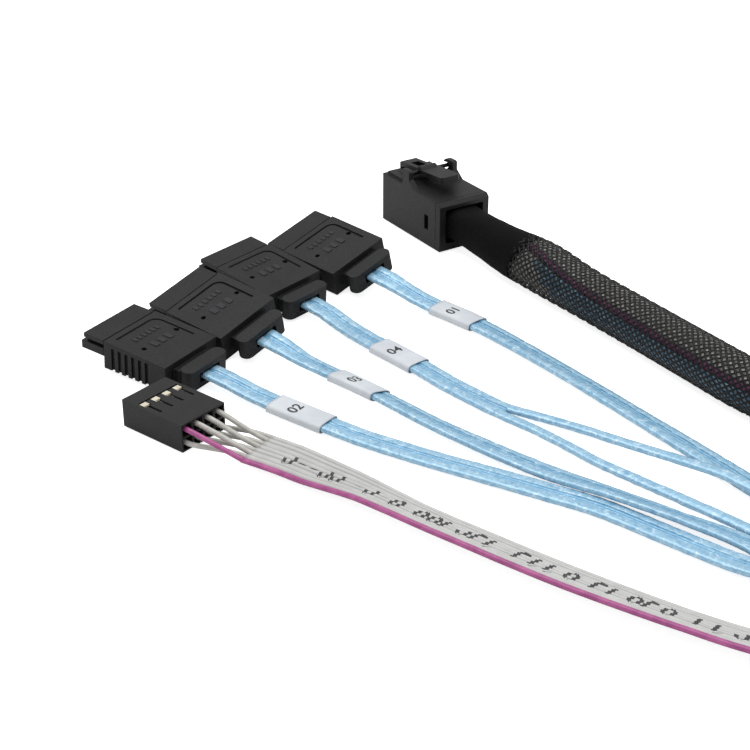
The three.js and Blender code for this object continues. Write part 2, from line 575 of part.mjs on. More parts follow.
// SATA plug: contact carrier with the L-shaped slot, and the moulding with ribs and cable collar.
// X runs towards the cable, Y across, from the rear left bottom corner.
function makeSataPlug(group, number) {
  const pose = SATA_POSES[number];
  const plug = new THREE.Group();
  const angles = [pose.roll, pose.tilt, pose.turn].map(THREE.MathUtils.degToRad);
  plug.rotation.set(...angles, "ZYX");
  plug.position.set(pose.at[0], pose.at[1], 0);

  const noseTop = SATA_HEIGHT_FRONT - 0.1;
  const noseBottom = noseTop - NOSE_HEIGHT;
  const noseLow = NOSE_INSET;
  const noseHigh = SATA_WIDTH - NOSE_INSET;
  const noseFront = -SATA_LENGTH - NOSE_LENGTH;
  const grooveLow = noseTop - 0.9 - SIDE_GROOVE_HEIGHT;
  const slotLow = (SATA_WIDTH - SLOT_WIDTH) / 2;
  const slotTop = grooveLow + SLOT_HEIGHT - 0.5;
  const tenonInset = 1.6;
  const tenonBottom = noseBottom + 0.2;
  const tenonTop = noseTop - 1.1;
  const tenonRear = -SATA_LENGTH + NOSE_TENON;
  const carrier = carve(
    [
      block([noseFront, noseLow, noseBottom], [-SATA_LENGTH - GAP, noseHigh, noseTop]),
      block([noseFront - NOSE_LIP, noseLow, noseBottom], [noseFront + 1, noseHigh, grooveLow]),
      block([noseFront + 1, noseLow + tenonInset, tenonBottom], [tenonRear, noseHigh - tenonInset, tenonTop]),
    ],
    [
      block(
        [noseFront - 1, slotLow, slotTop - SLOT_HEIGHT],
        [noseFront + SLOT_DEPTH, slotLow + SLOT_WIDTH, slotTop],
      ),
      block(
        [noseFront - 1, slotLow, slotTop - SLOT_HEIGHT - 0.7],
        [noseFront + SLOT_DEPTH, slotLow + SLOT_KEY, slotTop],
      ),
      block(
        [noseFront - 1, noseLow - 1, grooveLow],
        [-SATA_LENGTH + 1, noseLow + SIDE_GROOVE_DEPTH, grooveLow + SIDE_GROOVE_HEIGHT],
      ),
    ],
  );
  plug.add(piece(`sata_${number}_carrier`, carrier, plastic));

  const profile = outline([
    [-SATA_LENGTH, 0],
    [0, 0],
    [0, SATA_HEIGHT_REAR],
    [-SATA_LENGTH, SATA_HEIGHT_FRONT],
  ]);
  const collarLow = (SATA_WIDTH - COLLAR_WIDTH) / 2;
  const neckInset = collarLow + COLLAR_NECK_INSET;
  const collar = new THREE.ExtrudeGeometry(
    roundedRectangle(
      [COLLAR_NECK_LENGTH, collarLow],
      [COLLAR_LENGTH, SATA_WIDTH - collarLow],
      COLLAR_RADIUS,
    ),
    { depth: COLLAR_HEIGHT, bevelEnabled: false },
  );
  collar.translate(0, 0, COLLAR_BOTTOM);
  const recessWidth = PAIR + STRAND_WIDTH + 2 * COLLAR_RECESS_CLEARANCE;
  const recessHeight = STRAND_THICKNESS + 2 * COLLAR_RECESS_CLEARANCE;
  const collarMiddle = COLLAR_BOTTOM + COLLAR_HEIGHT / 2;
  const cuts = [
    block(
      [-SATA_LENGTH - 1, noseLow + tenonInset - GAP, tenonBottom - GAP],
      [tenonRear + GAP, noseHigh - tenonInset + GAP, tenonTop + GAP],
    ),
    block(
      [
        COLLAR_LENGTH - COLLAR_RECESS_DEPTH,
        (SATA_WIDTH - recessWidth) / 2,
        collarMiddle - recessHeight / 2,
      ],
      [COLLAR_LENGTH + 1, (SATA_WIDTH + recessWidth) / 2, collarMiddle + recessHeight / 2],
    ),
  ];
  const ribTop = SATA_HEIGHT_REAR - RIB_TOP_MARGIN;
  for (let i = 0; i < RIB_COUNT; i++) {
    const x = -SATA_LENGTH + RIB_FROM_FRONT + i * RIB_PITCH;
    const xEnd = x + RIB_GROOVE_WIDTH;
    cuts.push(block([x, -1, -1], [xEnd, RIB_GROOVE_DEPTH, ribTop]));
    cuts.push(block([x, SATA_WIDTH - RIB_GROOVE_DEPTH, -1], [xEnd, SATA_WIDTH + 1, ribTop]));
  }
  cuts.push(topGroove());
  for (const y of [DOT_MARGIN, SATA_WIDTH - DOT_MARGIN]) {
    const dot = new THREE.CylinderGeometry(DOT_RADIUS, DOT_RADIUS, 2, 8).rotateX(Math.PI / 2);
    const top = sataTop(-DOT_FROM_REAR) + 1 - DOT_DEPTH;
    cuts.push(dot.translate(-DOT_FROM_REAR, y, top));
  }
  const body = carve(
    [
      new THREE.ExtrudeGeometry(profile, { depth: SATA_WIDTH, bevelEnabled: false })
        .rotateX(Math.PI / 2)
        .translate(0, SATA_WIDTH, 0),
      block(
        [-EMBED, neckInset, COLLAR_BOTTOM + COLLAR_NECK_INSET],
        [
          COLLAR_NECK_LENGTH + EMBED,
          SATA_WIDTH - neckInset,
          COLLAR_BOTTOM + COLLAR_HEIGHT - COLLAR_NECK_INSET,
        ],
      ),
      collar,
    ],
    cuts,
  );
  plug.add(piece(`sata_${number}_moulding`, body, plastic));
  group.add(plug);
}

// Height of a SATA plug's top face at a place along it
function sataTop(x) {
  return THREE.MathUtils.lerp(SATA_HEIGHT_REAR, SATA_HEIGHT_FRONT, -x / SATA_LENGTH);
}

// The groove on a SATA plug's top: across the front, round one corner and down the far side
function topGroove() {
  const half = TOP_GROOVE_WIDTH / 2;
  const front = -SATA_LENGTH + TOP_GROOVE_FROM_FRONT;
  const far = SATA_WIDTH - TOP_GROOVE_MARGIN;
  const arc = (radius, from, to) => {
    const points = [];
    for (let i = 0; i <= 4; i++) {
      const angle = THREE.MathUtils.lerp(from, to, i / 4);
      points.push([
        front + TOP_GROOVE_RADIUS + radius * Math.cos(angle),
        far - TOP_GROOVE_RADIUS + radius * Math.sin(angle),
      ]);
    }
    return points;
  };
  const points = [
    [front - half, TOP_GROOVE_MARGIN],
    [front + half, TOP_GROOVE_MARGIN],
    ...arc(TOP_GROOVE_RADIUS - half, Math.PI, Math.PI / 2),
    [-TOP_GROOVE_FROM_REAR, far - half],
    [-TOP_GROOVE_FROM_REAR, far + half],
    ...arc(TOP_GROOVE_RADIUS + half, Math.PI / 2, Math.PI),
  ];
  const groove = new THREE.ExtrudeGeometry(outline(points), { depth: 2, bevelEnabled: false });
  const drop = Math.atan((SATA_HEIGHT_FRONT - SATA_HEIGHT_REAR) / SATA_LENGTH);
  return groove.rotateY(drop).translate(0, 0, SATA_HEIGHT_REAR - TOP_GROOVE_DEPTH);
}

// Crimp housing with its cavities, windows and slits, and a contact and a wire in each cavity
function makeHeader(group) {
  const header = new THREE.Group();
  header.position.set(HEADER_POSE.at[0], HEADER_POSE.at[1], 0);
  header.rotation.z = THREE.MathUtils.degToRad(HEADER_POSE.turn);
  const width = HEADER_COLUMNS * HEADER_PITCH + HEADER_EXTRA;
  const height = HEADER_ROWS * HEADER_PITCH + HEADER_EXTRA;
  const cuts = [];
  const contactStart = WINDOW_FROM_FRONT + 0.2;
  for (let row = 0; row < HEADER_ROWS; row++) {
    const z = HEADER_EXTRA / 2 + (row + 0.5) * HEADER_PITCH;
    const outside = row === 0 ? -1 : height + 1;
    const [low, high] = row === 0 ? [outside, z] : [z, outside];
    const lineEdge = row === 0 ? FRONT_LINE_DEPTH : height - FRONT_LINE_DEPTH;
    for (let column = 0; column < HEADER_COLUMNS; column++) {
      const y = HEADER_EXTRA / 2 + (column + 0.5) * HEADER_PITCH;
      cuts.push(
        block(
          [CAVITY_FROM_FRONT, y - CAVITY_SIZE / 2, z - CAVITY_SIZE / 2],
          [HEADER_LENGTH + 1, y + CAVITY_SIZE / 2, z + CAVITY_SIZE / 2],
        ),
        block(
          [-1, y - PIN_HOLE_SIZE / 2, z - PIN_HOLE_SIZE / 2],
          [CAVITY_FROM_FRONT + 1, y + PIN_HOLE_SIZE / 2, z + PIN_HOLE_SIZE / 2],
        ),
        block(
          [WINDOW_FROM_FRONT, y - WINDOW_LENGTH / 2, low],
          [WINDOW_FROM_FRONT + WINDOW_LENGTH, y + WINDOW_LENGTH / 2, high],
        ),
        block(
          [WINDOW_FROM_FRONT, y - SLIT_WIDTH / 2, low],
          [WINDOW_FROM_FRONT + WINDOW_LENGTH + SLIT_LENGTH, y + SLIT_WIDTH / 2, high],
        ),
      );
      const barrel = block(
        [contactStart, y - CONTACT_SIZE / 2, z - CONTACT_SIZE / 2],
        [contactStart + CONTACT_LENGTH, y + CONTACT_SIZE / 2, z + CONTACT_SIZE / 2],
      );
      const tongue = block(
        [contactStart, y - TONGUE_WIDTH / 2, row === 0 ? TONGUE_RECESS : z],
        [contactStart + TONGUE_LENGTH, y + TONGUE_WIDTH / 2, row === 0 ? z : height - TONGUE_RECESS],
      );
      const contact = carve([barrel, tongue]);
      header.add(piece(`crimp_contact_${row * HEADER_COLUMNS + column + 1}`, contact, gold));
    }
    cuts.push(
      block(
        [WINDOW_FROM_FRONT - FRONT_LINE_WIDTH, HEADER_PITCH / 4, Math.min(outside, lineEdge)],
        [WINDOW_FROM_FRONT + 0.1, width - HEADER_PITCH / 4, Math.max(outside, lineEdge)],
      ),
    );
  }
  const housing = carve([block([0, 0, 0], [HEADER_LENGTH, width, height])], cuts);
  header.add(piece("crimp_housing", housing, plastic));
  group.add(header);
  header.updateMatrixWorld(true);
  makeWires(group, header.matrixWorld, contactStart + CONTACT_LENGTH + GAP);
}

// The eight wires from the contacts to the ribbon: odd ones from the upper row, even ones from the lower
function makeWires(group, matrix, wireStart) {
  const ribbon = new CordRoute(RIBBON_ROUTE);
  const begin = ribbon.line.getPoint(0);
  const { tangent, left } = ribbon.frame(0);
  for (let wire = 0; wire < RIBBON_WIRES; wire++) {
    const column = Math.floor(wire / HEADER_ROWS);
    const row = HEADER_ROWS - 1 - (wire % HEADER_ROWS);
    const y = HEADER_EXTRA / 2 + (column + 0.5) * HEADER_PITCH;
    const z = HEADER_EXTRA / 2 + (row + 0.5) * HEADER_PITCH;
    const offset = (wire - (RIBBON_WIRES - 1) / 2) * RIBBON_PITCH;
    const end = begin.clone().addScaledVector(left, offset).addScaledVector(tangent, -GAP);
    const points = [
      new THREE.Vector3(wireStart, y, z).applyMatrix4(matrix),
      new THREE.Vector3(HEADER_LENGTH + 0.6, y, z).applyMatrix4(matrix),
      end.clone().addScaledVector(tangent, -3.2).add(new THREE.Vector3(0, 0, row * 0.9)),
      end,
    ];
    const route = new CordRoute(points.map((point) => point.toArray()));
    const section = ellipse(WIRE_DIAMETER, WIRE_DIAMETER, STRAND_SIDES);
    const vinyl = wire === 0 ? magentaVinyl : ribbonVinyl;
    group.add(piece(`header_wire_${wire + 1}`, tube(section, route, 1.6), vinyl));
  }
}

// The flat ribbon, one moulded strip of eight insulated conductors
function makeRibbon(group) {
  const half = (RIBBON_WIRES * RIBBON_PITCH) / 2;
  const section = roundedRectangle(
    [-half, -RIBBON_THICKNESS / 2],
    [half, RIBBON_THICKNESS / 2],
    RIBBON_THICKNESS * 0.45,
    1,
  ).getPoints();
  group.add(piece("ribbon_cable", tube(section, new CordRoute(RIBBON_ROUTE), 5), ribbonVinyl));
}

const cable = new THREE.Group();
const shellRear = makePlug(cable);
makeLatch(cable);
makeTrunk(cable, shellRear);
for (const number of Object.keys(SATA_POSES)) {
  makeSataPlug(cable, number);
  makeLeg(cable, number);
}
makeHeader(cable);
makeRibbon(cable);

export default cable;
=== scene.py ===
"""A storage breakout cable: a latching plug on a braided trunk, four flat legs and a ribbon.

Lengths are written in millimetres and turned to metres where a mesh is made.
"""

import math
import random

import bmesh
import bpy
import numpy as np
from mathutils import Matrix, Vector, noise


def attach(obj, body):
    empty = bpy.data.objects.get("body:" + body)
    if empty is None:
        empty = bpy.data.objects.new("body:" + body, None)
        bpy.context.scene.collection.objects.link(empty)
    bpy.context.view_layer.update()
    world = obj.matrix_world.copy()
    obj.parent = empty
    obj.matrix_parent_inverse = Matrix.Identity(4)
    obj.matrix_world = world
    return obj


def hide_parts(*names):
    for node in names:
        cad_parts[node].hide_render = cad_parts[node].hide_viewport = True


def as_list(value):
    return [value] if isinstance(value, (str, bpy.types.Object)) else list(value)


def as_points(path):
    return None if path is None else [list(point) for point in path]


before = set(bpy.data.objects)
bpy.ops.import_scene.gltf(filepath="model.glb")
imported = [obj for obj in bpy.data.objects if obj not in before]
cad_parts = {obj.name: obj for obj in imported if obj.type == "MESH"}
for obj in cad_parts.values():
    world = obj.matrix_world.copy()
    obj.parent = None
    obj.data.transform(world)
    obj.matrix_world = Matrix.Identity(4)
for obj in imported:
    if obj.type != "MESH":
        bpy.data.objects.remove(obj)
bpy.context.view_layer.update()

MM = 0.001
UP = Vector((0, 0, 1))
random.seed(7)

# Camera of the photograph: a 750 by 750 picture
PHOTO_SIDE = 750
FOCAL_PIXELS = 1600.3
SENSOR_WIDTH = 36
CAMERA_AT = (184.42, 264.04, 138.59)
CAMERA_HEADING = (-0.5392, -0.8421)
CAMERA_DOWN = 28.52

# Cord routes, with the same points as the solids have; leg 3 rolls a little less. Trunk: x, y, z
TRUNK = [
    [0, 12, 5.3], [0.3, 20, 5.3], [0.5, 28, 5.2], [0.1, 36, 4.95], [-0.3, 44, 4.8],
    [-0.6, 55, 4.75], [-0.7, 68, 4.75], [-0.7, 82, 4.75],
    [-0.9, 95, 4.75], [-3, 108, 4.75], [-9, 121.5, 4.75],
    [-18, 135, 4.75], [-29, 148.5, 4.75], [-40.5, 162.5, 4.75], [-51, 177, 4.75],
    [-59, 193, 4.75], [-62.5, 210, 4.75], [-60, 226.5, 4.75], [-51.5, 240.5, 4.75],
    [-38.5, 249.5, 4.75], [-23, 252.5, 4.75], [-8, 249.5, 4.75], [5, 241, 4.75],
    [14, 229, 4.8], [18.6, 216, 4.9], [19.5, 203, 5.15], [19.5, 190, 5.15], [19.5, 176, 5.15],
]
# Legs and ribbon: x, y, z, roll in degrees, spacing of the two strands
PAIR = 2.45
LEGS = {
    1: [
        [28.16, 19.55, 4.2, 14, PAIR], [26.9, 24.6, 3.7, 10, PAIR], [24.8, 29.2, 2.1, 4, PAIR],
        [23, 34.2, 1.25, 0, PAIR], [21.5, 40.2, 1.15, -1, PAIR], [20.1, 47, 1, -3, PAIR],
        [19.2, 55.2, 0.9, -6, PAIR], [18.6, 64.8, 0.95, -8, PAIR], [18.1, 75, 0.95, -8, PAIR],
        [17.6, 88, 0.85, -6, PAIR], [17.1, 101, 0.75, -3, PAIR], [16.8, 113.6, 0.7, 0, PAIR],
        [16.9, 128, 0.7, 0, PAIR], [17.1, 143, 1.1, 0, PAIR], [17.2, 155, 2.1, 0, PAIR],
        [17.1, 166, 3.5, 0, PAIR], [17.05, 175.7, 4.55, 0, PAIR],
    ],
    4: [
        [44.28, 21.18, 2.55, 2, PAIR], [43.1, 26.2, 2.1, 2, PAIR], [42.4, 31.2, 1.4, 0, PAIR],
        [41.6, 38, 1.1, 0, PAIR], [40.5, 45.5, 1.1, 0, PAIR], [39.3, 53, 1, 0, PAIR],
        [38.3, 60, 0.7, 0, PAIR], [37.2, 66.5, 0.65, 0, PAIR], [35.9, 73, 0.65, 0, PAIR],
        [33, 80.8, 0.65, 0, 4.4], [30.6, 88.3, 0.65, 0, 6.6], [29.1, 94, 0.7, 1, 7.9],
        [26.5, 102.6, 0.9, 4, 8.8], [24.3, 111.4, 1.4, 8, 9.2], [22.9, 119, 1.5, 8, 8.6],
        [21.2, 131, 1.65, 8, 7.6], [19.6, 145, 2.25, 6, 6], [18.2, 158, 3.9, 3, 3.8],
        [17.3, 167, 5.2, 0, 2.8], [17.05, 175.7, 6.05, 0, PAIR],
    ],
    3: [
        [59.91, 31.8, 3.94, 12.7, PAIR], [58.6, 36.5, 3.4, 5, PAIR], [57.1, 40.7, 2.4, -8, PAIR],
        [55.4, 45.4, 1.85, -12, PAIR], [53.8, 51, 1.75, -14, PAIR], [52.2, 57.5, 1.7, -16, PAIR],
        [50.7, 64, 1.5, -15, PAIR], [49, 71.2, 1.25, -14, PAIR], [46.3, 80.5, 1.05, -10, PAIR],
        [44.2, 87.5, 1, -8, PAIR], [41.7, 94.8, 1, -8, PAIR], [37.6, 105, 1.35, -18, PAIR],
        [33.4, 115.8, 1.4, -20, PAIR], [29.4, 126.2, 1.15, -10, PAIR],
        [28.2, 135.5, 0.85, -2, PAIR], [26.4, 147, 0.8, 0, PAIR],
        [23.8, 157, 1.9, 0, PAIR], [22.4, 163, 2.95, 0, PAIR],
        [22, 169, 3.85, 0, PAIR], [21.95, 175.7, 4.55, 0, PAIR],
    ],
    2: [
        [73.52, 35.89, 2.45, 0.9, PAIR], [71.7, 40.6, 2, 0, PAIR], [69.9, 45.6, 1.35, 0, PAIR],
        [68.1, 50.6, 1.1, 0, PAIR], [66.1, 56.2, 1.05, 0, PAIR], [64, 61.7, 0.95, 0, PAIR],
        [61.5, 67.4, 0.7, 0, PAIR], [58.6, 73.4, 0.65, 0, PAIR], [55.5, 79.5, 0.65, 0, 2.5],
        [51, 87.7, 0.65, 0, 2.6], [45.8, 97.3, 0.65, 0, 2.6], [41.4, 105.8, 0.65, 0, 2.6],
        [37.6, 117.2, 0.65, 0, 2.5], [34.4, 128.6, 1.1, 0, PAIR], [31.3, 138, 2.25, 0, PAIR],
        [27.8, 148, 2.8, 0, PAIR], [24.6, 158, 3.7, 0, PAIR], [22.3, 167, 5.1, 0, PAIR],
        [21.95, 175.7, 6.05, 0, PAIR],
    ],
}
RIBBON = [
    [78.2, 61.8, 1, -2, 0], [75.6, 66.8, 0.8, -3, 0], [73.3, 73.8, 1, -6, 0],
    [71.9, 78.6, 1.4, -10, 0], [70.2, 85.4, 2, -17, 0],
    [68.5, 92, 2.25, -20, 0], [66.4, 98.3, 2.25, -20, 0],
    [64.1, 104.7, 2.25, -20, 0], [61.8, 111.2, 2.25, -20, 0], [58.2, 120.6, 2.25, -20, 0],
    [54.6, 129.3, 2.35, -21, 0], [50.9, 137.4, 2.4, -22, 0], [47, 144.8, 2.4, -21, 0],
    [42, 151, 2.1, -16, 0], [36.4, 156.2, 1.4, -8, 0], [30.6, 160.3, 1, -3, 0],
    [25.2, 163.6, 1.3, 0, 0], [21.5, 167.2, 2.1, 0, 0], [19.9, 170.8, 2.7, 0, 0],
    [19.5, 173.4, 3, 0, 0], [19.5, 175.6, 3.2, 0, 0],
]
# Each label's start along its leg, and its length
LABELS = {1: (16.1, 10.4), 2: (15.5, 11.8), 3: (17.8, 10.5), 4: (21, 10.6)}

# Sizes that follow the solids', where the strands are 0.1 wider
SLEEVE_RADIUS = 4.9
BREAKOUT_RADIUS = 5.3
PLUG_SHRINK_END = 22
BREAKOUT_LENGTH = 30
STRAND_WIDTH = 2.1
STRAND_THICKNESS = 1.15
STRAND_POWER = 3.0  # how boxy a strand's section is, 2 being an ellipse
LABEL_WIDTH, LABEL_HEIGHT, LABEL_FILM = 5.3, 1.84, 0.15
LABEL_POWER = 3.4
RIBBON_PITCH = 1.27
RIBBON_WIRES = 8
# Each SATA plug's x and y, and its turns about Z, Y and X in degrees
SATA_POSES = {
    1: (35.25, 17.1, 102.7, 0.7, 13.9),
    2: (81.95, 35.05, 113.7, 3.7, 0.9),
    3: (67.15, 29.8, 106.9, 2, 12.7),
    4: (52.2, 19.0, 104.9, 4.5, 2.1),
}
SATA_LENGTH, SATA_FRONT, SATA_REAR = 14.4, 5.6, 5.2  # its height at the front and at the rear
SHELL_REAR = 9.31
COVER_FRONT = 9.65  # what lies before this y is the rear cover's front face
CARD_MIDDLES = (3.2, 7.5)
CARD_THICKNESS = 1.0
HEADER_AT = (92.93, 41.4)
HEADER_TURN = 108.2
HEADER_PITCH = 2.54
HEADER_EDGE = 0.05
HEADER_LENGTH = 14.2


# Routes


class Route:
    """A cord's centre line with its roll and spread, run at equal steps of length."""

    def __init__(self, rows, side=0):
        self.rows = rows
        self.side = side
        self.points = [Vector(row[:3]) for row in rows]
        self.table = [0.0]
        self.fine = 40 * (len(rows) - 1)
        last = self.at(0)
        for i in range(1, self.fine + 1):
            here = self.at(i / self.fine)
            self.table.append(self.table[-1] + (here - last).length)
            last = here
        self.length = self.table[-1]

    def centre(self, t):
        """A centripetal spline through the points, as the solids' routes are."""
        place = min(max(t, 0), 1) * (len(self.points) - 1)
        i = min(int(place), len(self.points) - 2)
        weight = place - i
        p1, p2 = self.points[i], self.points[i + 1]
        p0 = self.points[i - 1] if i > 0 else 2 * p1 - p2
        p3 = self.points[i + 2] if i + 2 < len(self.points) else 2 * p2 - p1
        d0, d1, d2 = ((b - a).length ** 0.5 for a, b in ((p0, p1), (p1, p2), (p2, p3)))
        start = ((p1 - p0) / d0 - (p2 - p0) / (d0 + d1) + (p2 - p1) / d1) * d1
        end = ((p2 - p1) / d1 - (p3 - p1) / (d1 + d2) + (p3 - p2) / d2) * d1
        w2, w3 = weight**2, weight**3
        return (
            p1 * (2 * w3 - 3 * w2 + 1)
            + start * (w3 - 2 * w2 + weight)
            + p2 * (3 * w2 - 2 * w3)
            + end * (w3 - w2)
        )

    def value(self, t, column):
        place = min(max(t, 0), 1) * (len(self.rows) - 1)
        i = min(int(place), len(self.rows) - 2)
        a, b = (self.rows[i + k][column] if len(self.rows[i + k]) > column else 0 for k in (0, 1))
        return a + (b - a) * (place - i)

    def frame_at(self, t):
        """Along, left and over directions."""
        step = 0.0005
        along = (self.centre(min(t + step, 1)) - self.centre(max(t - step, 0))).normalized()
        left = UP.cross(along).normalized()
        left = Matrix.Rotation(math.radians(self.value(t, 3)), 3, along) @ left
        return along, left, along.cross(left)

    def at(self, t):
        centre = self.centre(t)
        if not self.side:
            return centre
        return centre + self.frame_at(t)[1] * (self.side * self.value(t, 4) / 2)

    def t_of(self, distance):
        i = int(np.searchsorted(self.table, distance)) - 1
        i = min(max(i, 0), self.fine - 1)
        span = self.table[i + 1] - self.table[i]
        return min(max((i + (distance - self.table[i]) / max(span, 1e-9)) / self.fine, 0), 1)

    def stations(self, start, end, step):
        """Equal steps between two lengths: (length, point, along, left, over)."""
        count = max(2, round((end - start) / step))
        made = []
        for i in range(count + 1):
            distance = start + (end - start) * i / count
            t = self.t_of(distance)
            along, left, over = self.frame_at(t)
            made.append((distance, self.at(t), along, left, over))
        return made


# Making pieces


def new_piece(name, vertices, faces, finish, slot, replaces=(), uv=None, smooth=True):
    """One mesh object of the cable, from points in millimetres.

    finish is a material, or a pair: a list of materials, and an index into it for each face.
    """
    mesh = bpy.data.meshes.new(name)
    mesh.from_pydata([Vector(v) * MM for v in vertices], [], [list(f) for f in faces])
    finishes, picks = finish if isinstance(finish, tuple) else ([finish], None)
    for each in finishes:
        mesh.materials.append(each)
    if picks is not None:
        mesh.polygons.foreach_set("material_index", np.array(picks, dtype=np.int32))
    if uv is not None:
        layer = mesh.uv_layers.new(name="lay")
        corner = np.empty(len(mesh.loops), dtype=np.int32)
        mesh.loops.foreach_get("vertex_index", corner)
        layer.data.foreach_set("uv", np.array(uv, dtype=np.float32)[corner].ravel())
    mesh.polygons.foreach_set("use_smooth", np.full(len(mesh.polygons), smooth))
    mesh.update()
    piece = bpy.data.objects.new(name, mesh)
    bpy.context.scene.collection.objects.link(piece)
    return settle(piece, slot, "cable", replaces)


def settle(piece, slot, body, replaces=()):
    """Hides the parts that a piece replaces and puts the piece on the body that it rides on."""
    if replaces:
        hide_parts(*replaces)
    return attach(piece, body)


def sweep(stations, section):
    """Rings of a closed section along the stations, with closed ends.

    section(distance) gives (across, above) pairs.
    """
    vertices, faces, uv = [], [], []
    count = 0
    for distance, centre, _, left, over in stations:
        ring = section(distance)
        count = len(ring)
        for k, (across, above) in enumerate(ring):
            vertices.append(centre + left * across + over * above)
            uv.append((k / count, distance))
    for i in range(len(stations) - 1):
        for k in range(count):
            a, b = i * count + k, i * count + (k + 1) % count
            faces.append((a, b, b + count, a + count))
    faces.append(tuple(reversed(range(count))))
    last = (len(stations) - 1) * count
    faces.append(tuple(range(last, last + count)))
    return vertices, faces, uv


def rounded_oval(width, height, power, sides):
    """A superellipse: power 2 is an ellipse, more is boxier."""
    ring = []
    for k in range(sides):
        angle = 2 * math.pi * (k + 0.5) / sides
        c, s = math.cos(angle), math.sin(angle)
        x = math.copysign(abs(c) ** (2 / power), c) * width / 2
        y = math.copysign(abs(s) ** (2 / power), s) * height / 2
        ring.append((x, y))
    return ring


def eased_copy(node, finish, slot, body="cable", ease=0.18, extra=None):
    """A moulded piece with the node's own shape and softly rounded edges."""
    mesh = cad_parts[node].data.copy()
    mesh.name = node + "_eased"
    piece = bpy.data.objects.new(node + "_eased", mesh)
    bpy.context.scene.collection.objects.link(piece)
    made = bmesh.new()
    made.from_mesh(mesh)
    bmesh.ops.remove_doubles(made, verts=made.verts, dist=1e-6)
    bmesh.ops.dissolve_limit(
        made, angle_limit=math.radians(1), verts=made.verts, edges=made.edges, delimit=set()
    )
    if extra:
        extra(made)
    made.to_mesh(mesh)
    made.free()
    mesh.materials.clear()
    mesh.materials.append(finish)
    mesh.polygons.foreach_set("use_smooth", np.full(len(mesh.polygons), True))
    bevel = piece.modifiers.new("eased_edges", "BEVEL")
    bevel.width = ease * MM
    bevel.segments = 3
    bevel.limit_method = "ANGLE"
    bevel.angle_limit = math.radians(28)
    bevel.use_clamp_overlap = True
    bevel.miter_outer = "MITER_ARC"
    normals = piece.modifiers.new("flat_faces", "WEIGHTED_NORMAL")
    normals.keep_sharp = True
    return settle(piece, slot, body, [node])


# Materials


def linear(hex_colour):
    """An sRGB hex colour as linear RGBA."""
    values = [int(hex_colour[i : i + 2], 16) / 255 for i in (1, 3, 5)]
    return [v / 12.92 if v <= 0.04045 else ((v + 0.055) / 1.055) ** 2.4 for v in values] + [1]


def add(tree, kind, settings=None, links=None):
    """Adds a shader node, with settings for its properties or sockets and links into sockets."""
    made = tree.nodes.new(kind)
    for name, value in (settings or {}).items():
        if name in made.inputs:
            made.inputs[name].default_value = value
        else:
            setattr(made, name, value)
    for name, source in (links or {}).items():
        tree.links.new(source, made.inputs[name])
    return made


def start_material(name, hex_colour, roughness, metallic=0.0, ior=1.5, **sockets):
    """A material with its shader; returns the material, its tree and the shader."""
    made = bpy.data.materials.new(name)
    made.use_nodes = True
    made.diffuse_color = linear(hex_colour)
    tree = made.node_tree
    shader = tree.nodes["Principled BSDF"]
    shader.inputs["Base Color"].default_value = linear(hex_colour)
    shader.inputs["Roughness"].default_value = roughness
    shader.inputs["Metallic"].default_value = metallic
    shader.inputs["IOR"].default_value = ior
    for socket, value in sockets.items():
        shader.inputs[socket.replace("_", " ")].default_value = value
    return made, tree, shader


def two_colours(tree, factor, low, high, at=(0.35, 0.65)):
    """A ramp between two sRGB colours."""
    ramp = add(tree, "ShaderNodeValToRGB", links={"Fac": factor})
    ramp.color_ramp.elements[0].position, ramp.color_ramp.elements[1].position = at
    ramp.color_ramp.elements[0].color = linear(low)
    ramp.color_ramp.elements[1].color = linear(high)
    return ramp.outputs["Color"]


def cloud(tree, size_mm, detail, **more):
    """Noise in the piece's own space, with features of about one size."""
    place = add(tree, "ShaderNodeTexCoord").outputs["Object"]
    settings = {"Scale": 1 / (size_mm * MM), "Detail": detail, **more}
    return add(tree, "ShaderNodeTexNoise", settings, {"Vector": place}).outputs["Fac"]


def bump(tree, height, strength, depth_mm, over=None):
    """A normal bent by a height, on top of another bump where one is given."""
    links = {"Height": height}
    if over is not None:
        links["Normal"] = over
    settings = {"Strength": strength, "Distance": depth_mm * MM}
    return add(tree, "ShaderNodeBump", settings, links).outputs["Normal"]


def spread(tree, value, low, high, to_low, to_high):
    """A value's range turned into another."""
    settings = {"From Min": low, "From Max": high, "To Min": to_low, "To Max": to_high}
    return add(tree, "ShaderNodeMapRange", settings, {"Value": value}).outputs["Result"]


def feed(tree, shader, **sources):
    for socket, source in sources.items():
        tree.links.new(source, shader.inputs[socket.replace("_", " ")])


def moulded_abs(name, low, high, roughness, grain_mm=0.22, depth=0.06):
    """ABS out of a spark-eroded tool: a fine matt grain that breaks the light up."""
    made, tree, shader = start_material(name, low, roughness, Specular_IOR_Level=0.36)
    grain = cloud(tree, grain_mm, 2.0)
    feed(
        tree,
        shader,
        Base_Color=two_colours(tree, cloud(tree, 3.5, 3.0), low, high),
        Roughness=spread(tree, grain, 0.3, 0.7, roughness - 0.07, roughness + 0.08),
        Normal=bump(tree, grain, 0.35, depth),
    )
    return made


def shrunk_polyolefin():
    """Heat-shrink sleeving: matt black with the faint pebble that shrinking leaves."""
    made, tree, shader = start_material(
        "polyolefin_heat_shrink", "#060606", 0.85, Specular_IOR_Level=0.12
    )
    pebble = cloud(tree, 0.9, 4.0)
    colour = two_colours(tree, pebble, "#040404", "#090909")
    feed(tree, shader, Base_Color=colour, Normal=bump(tree, pebble, 0.4, 0.12))
    return made


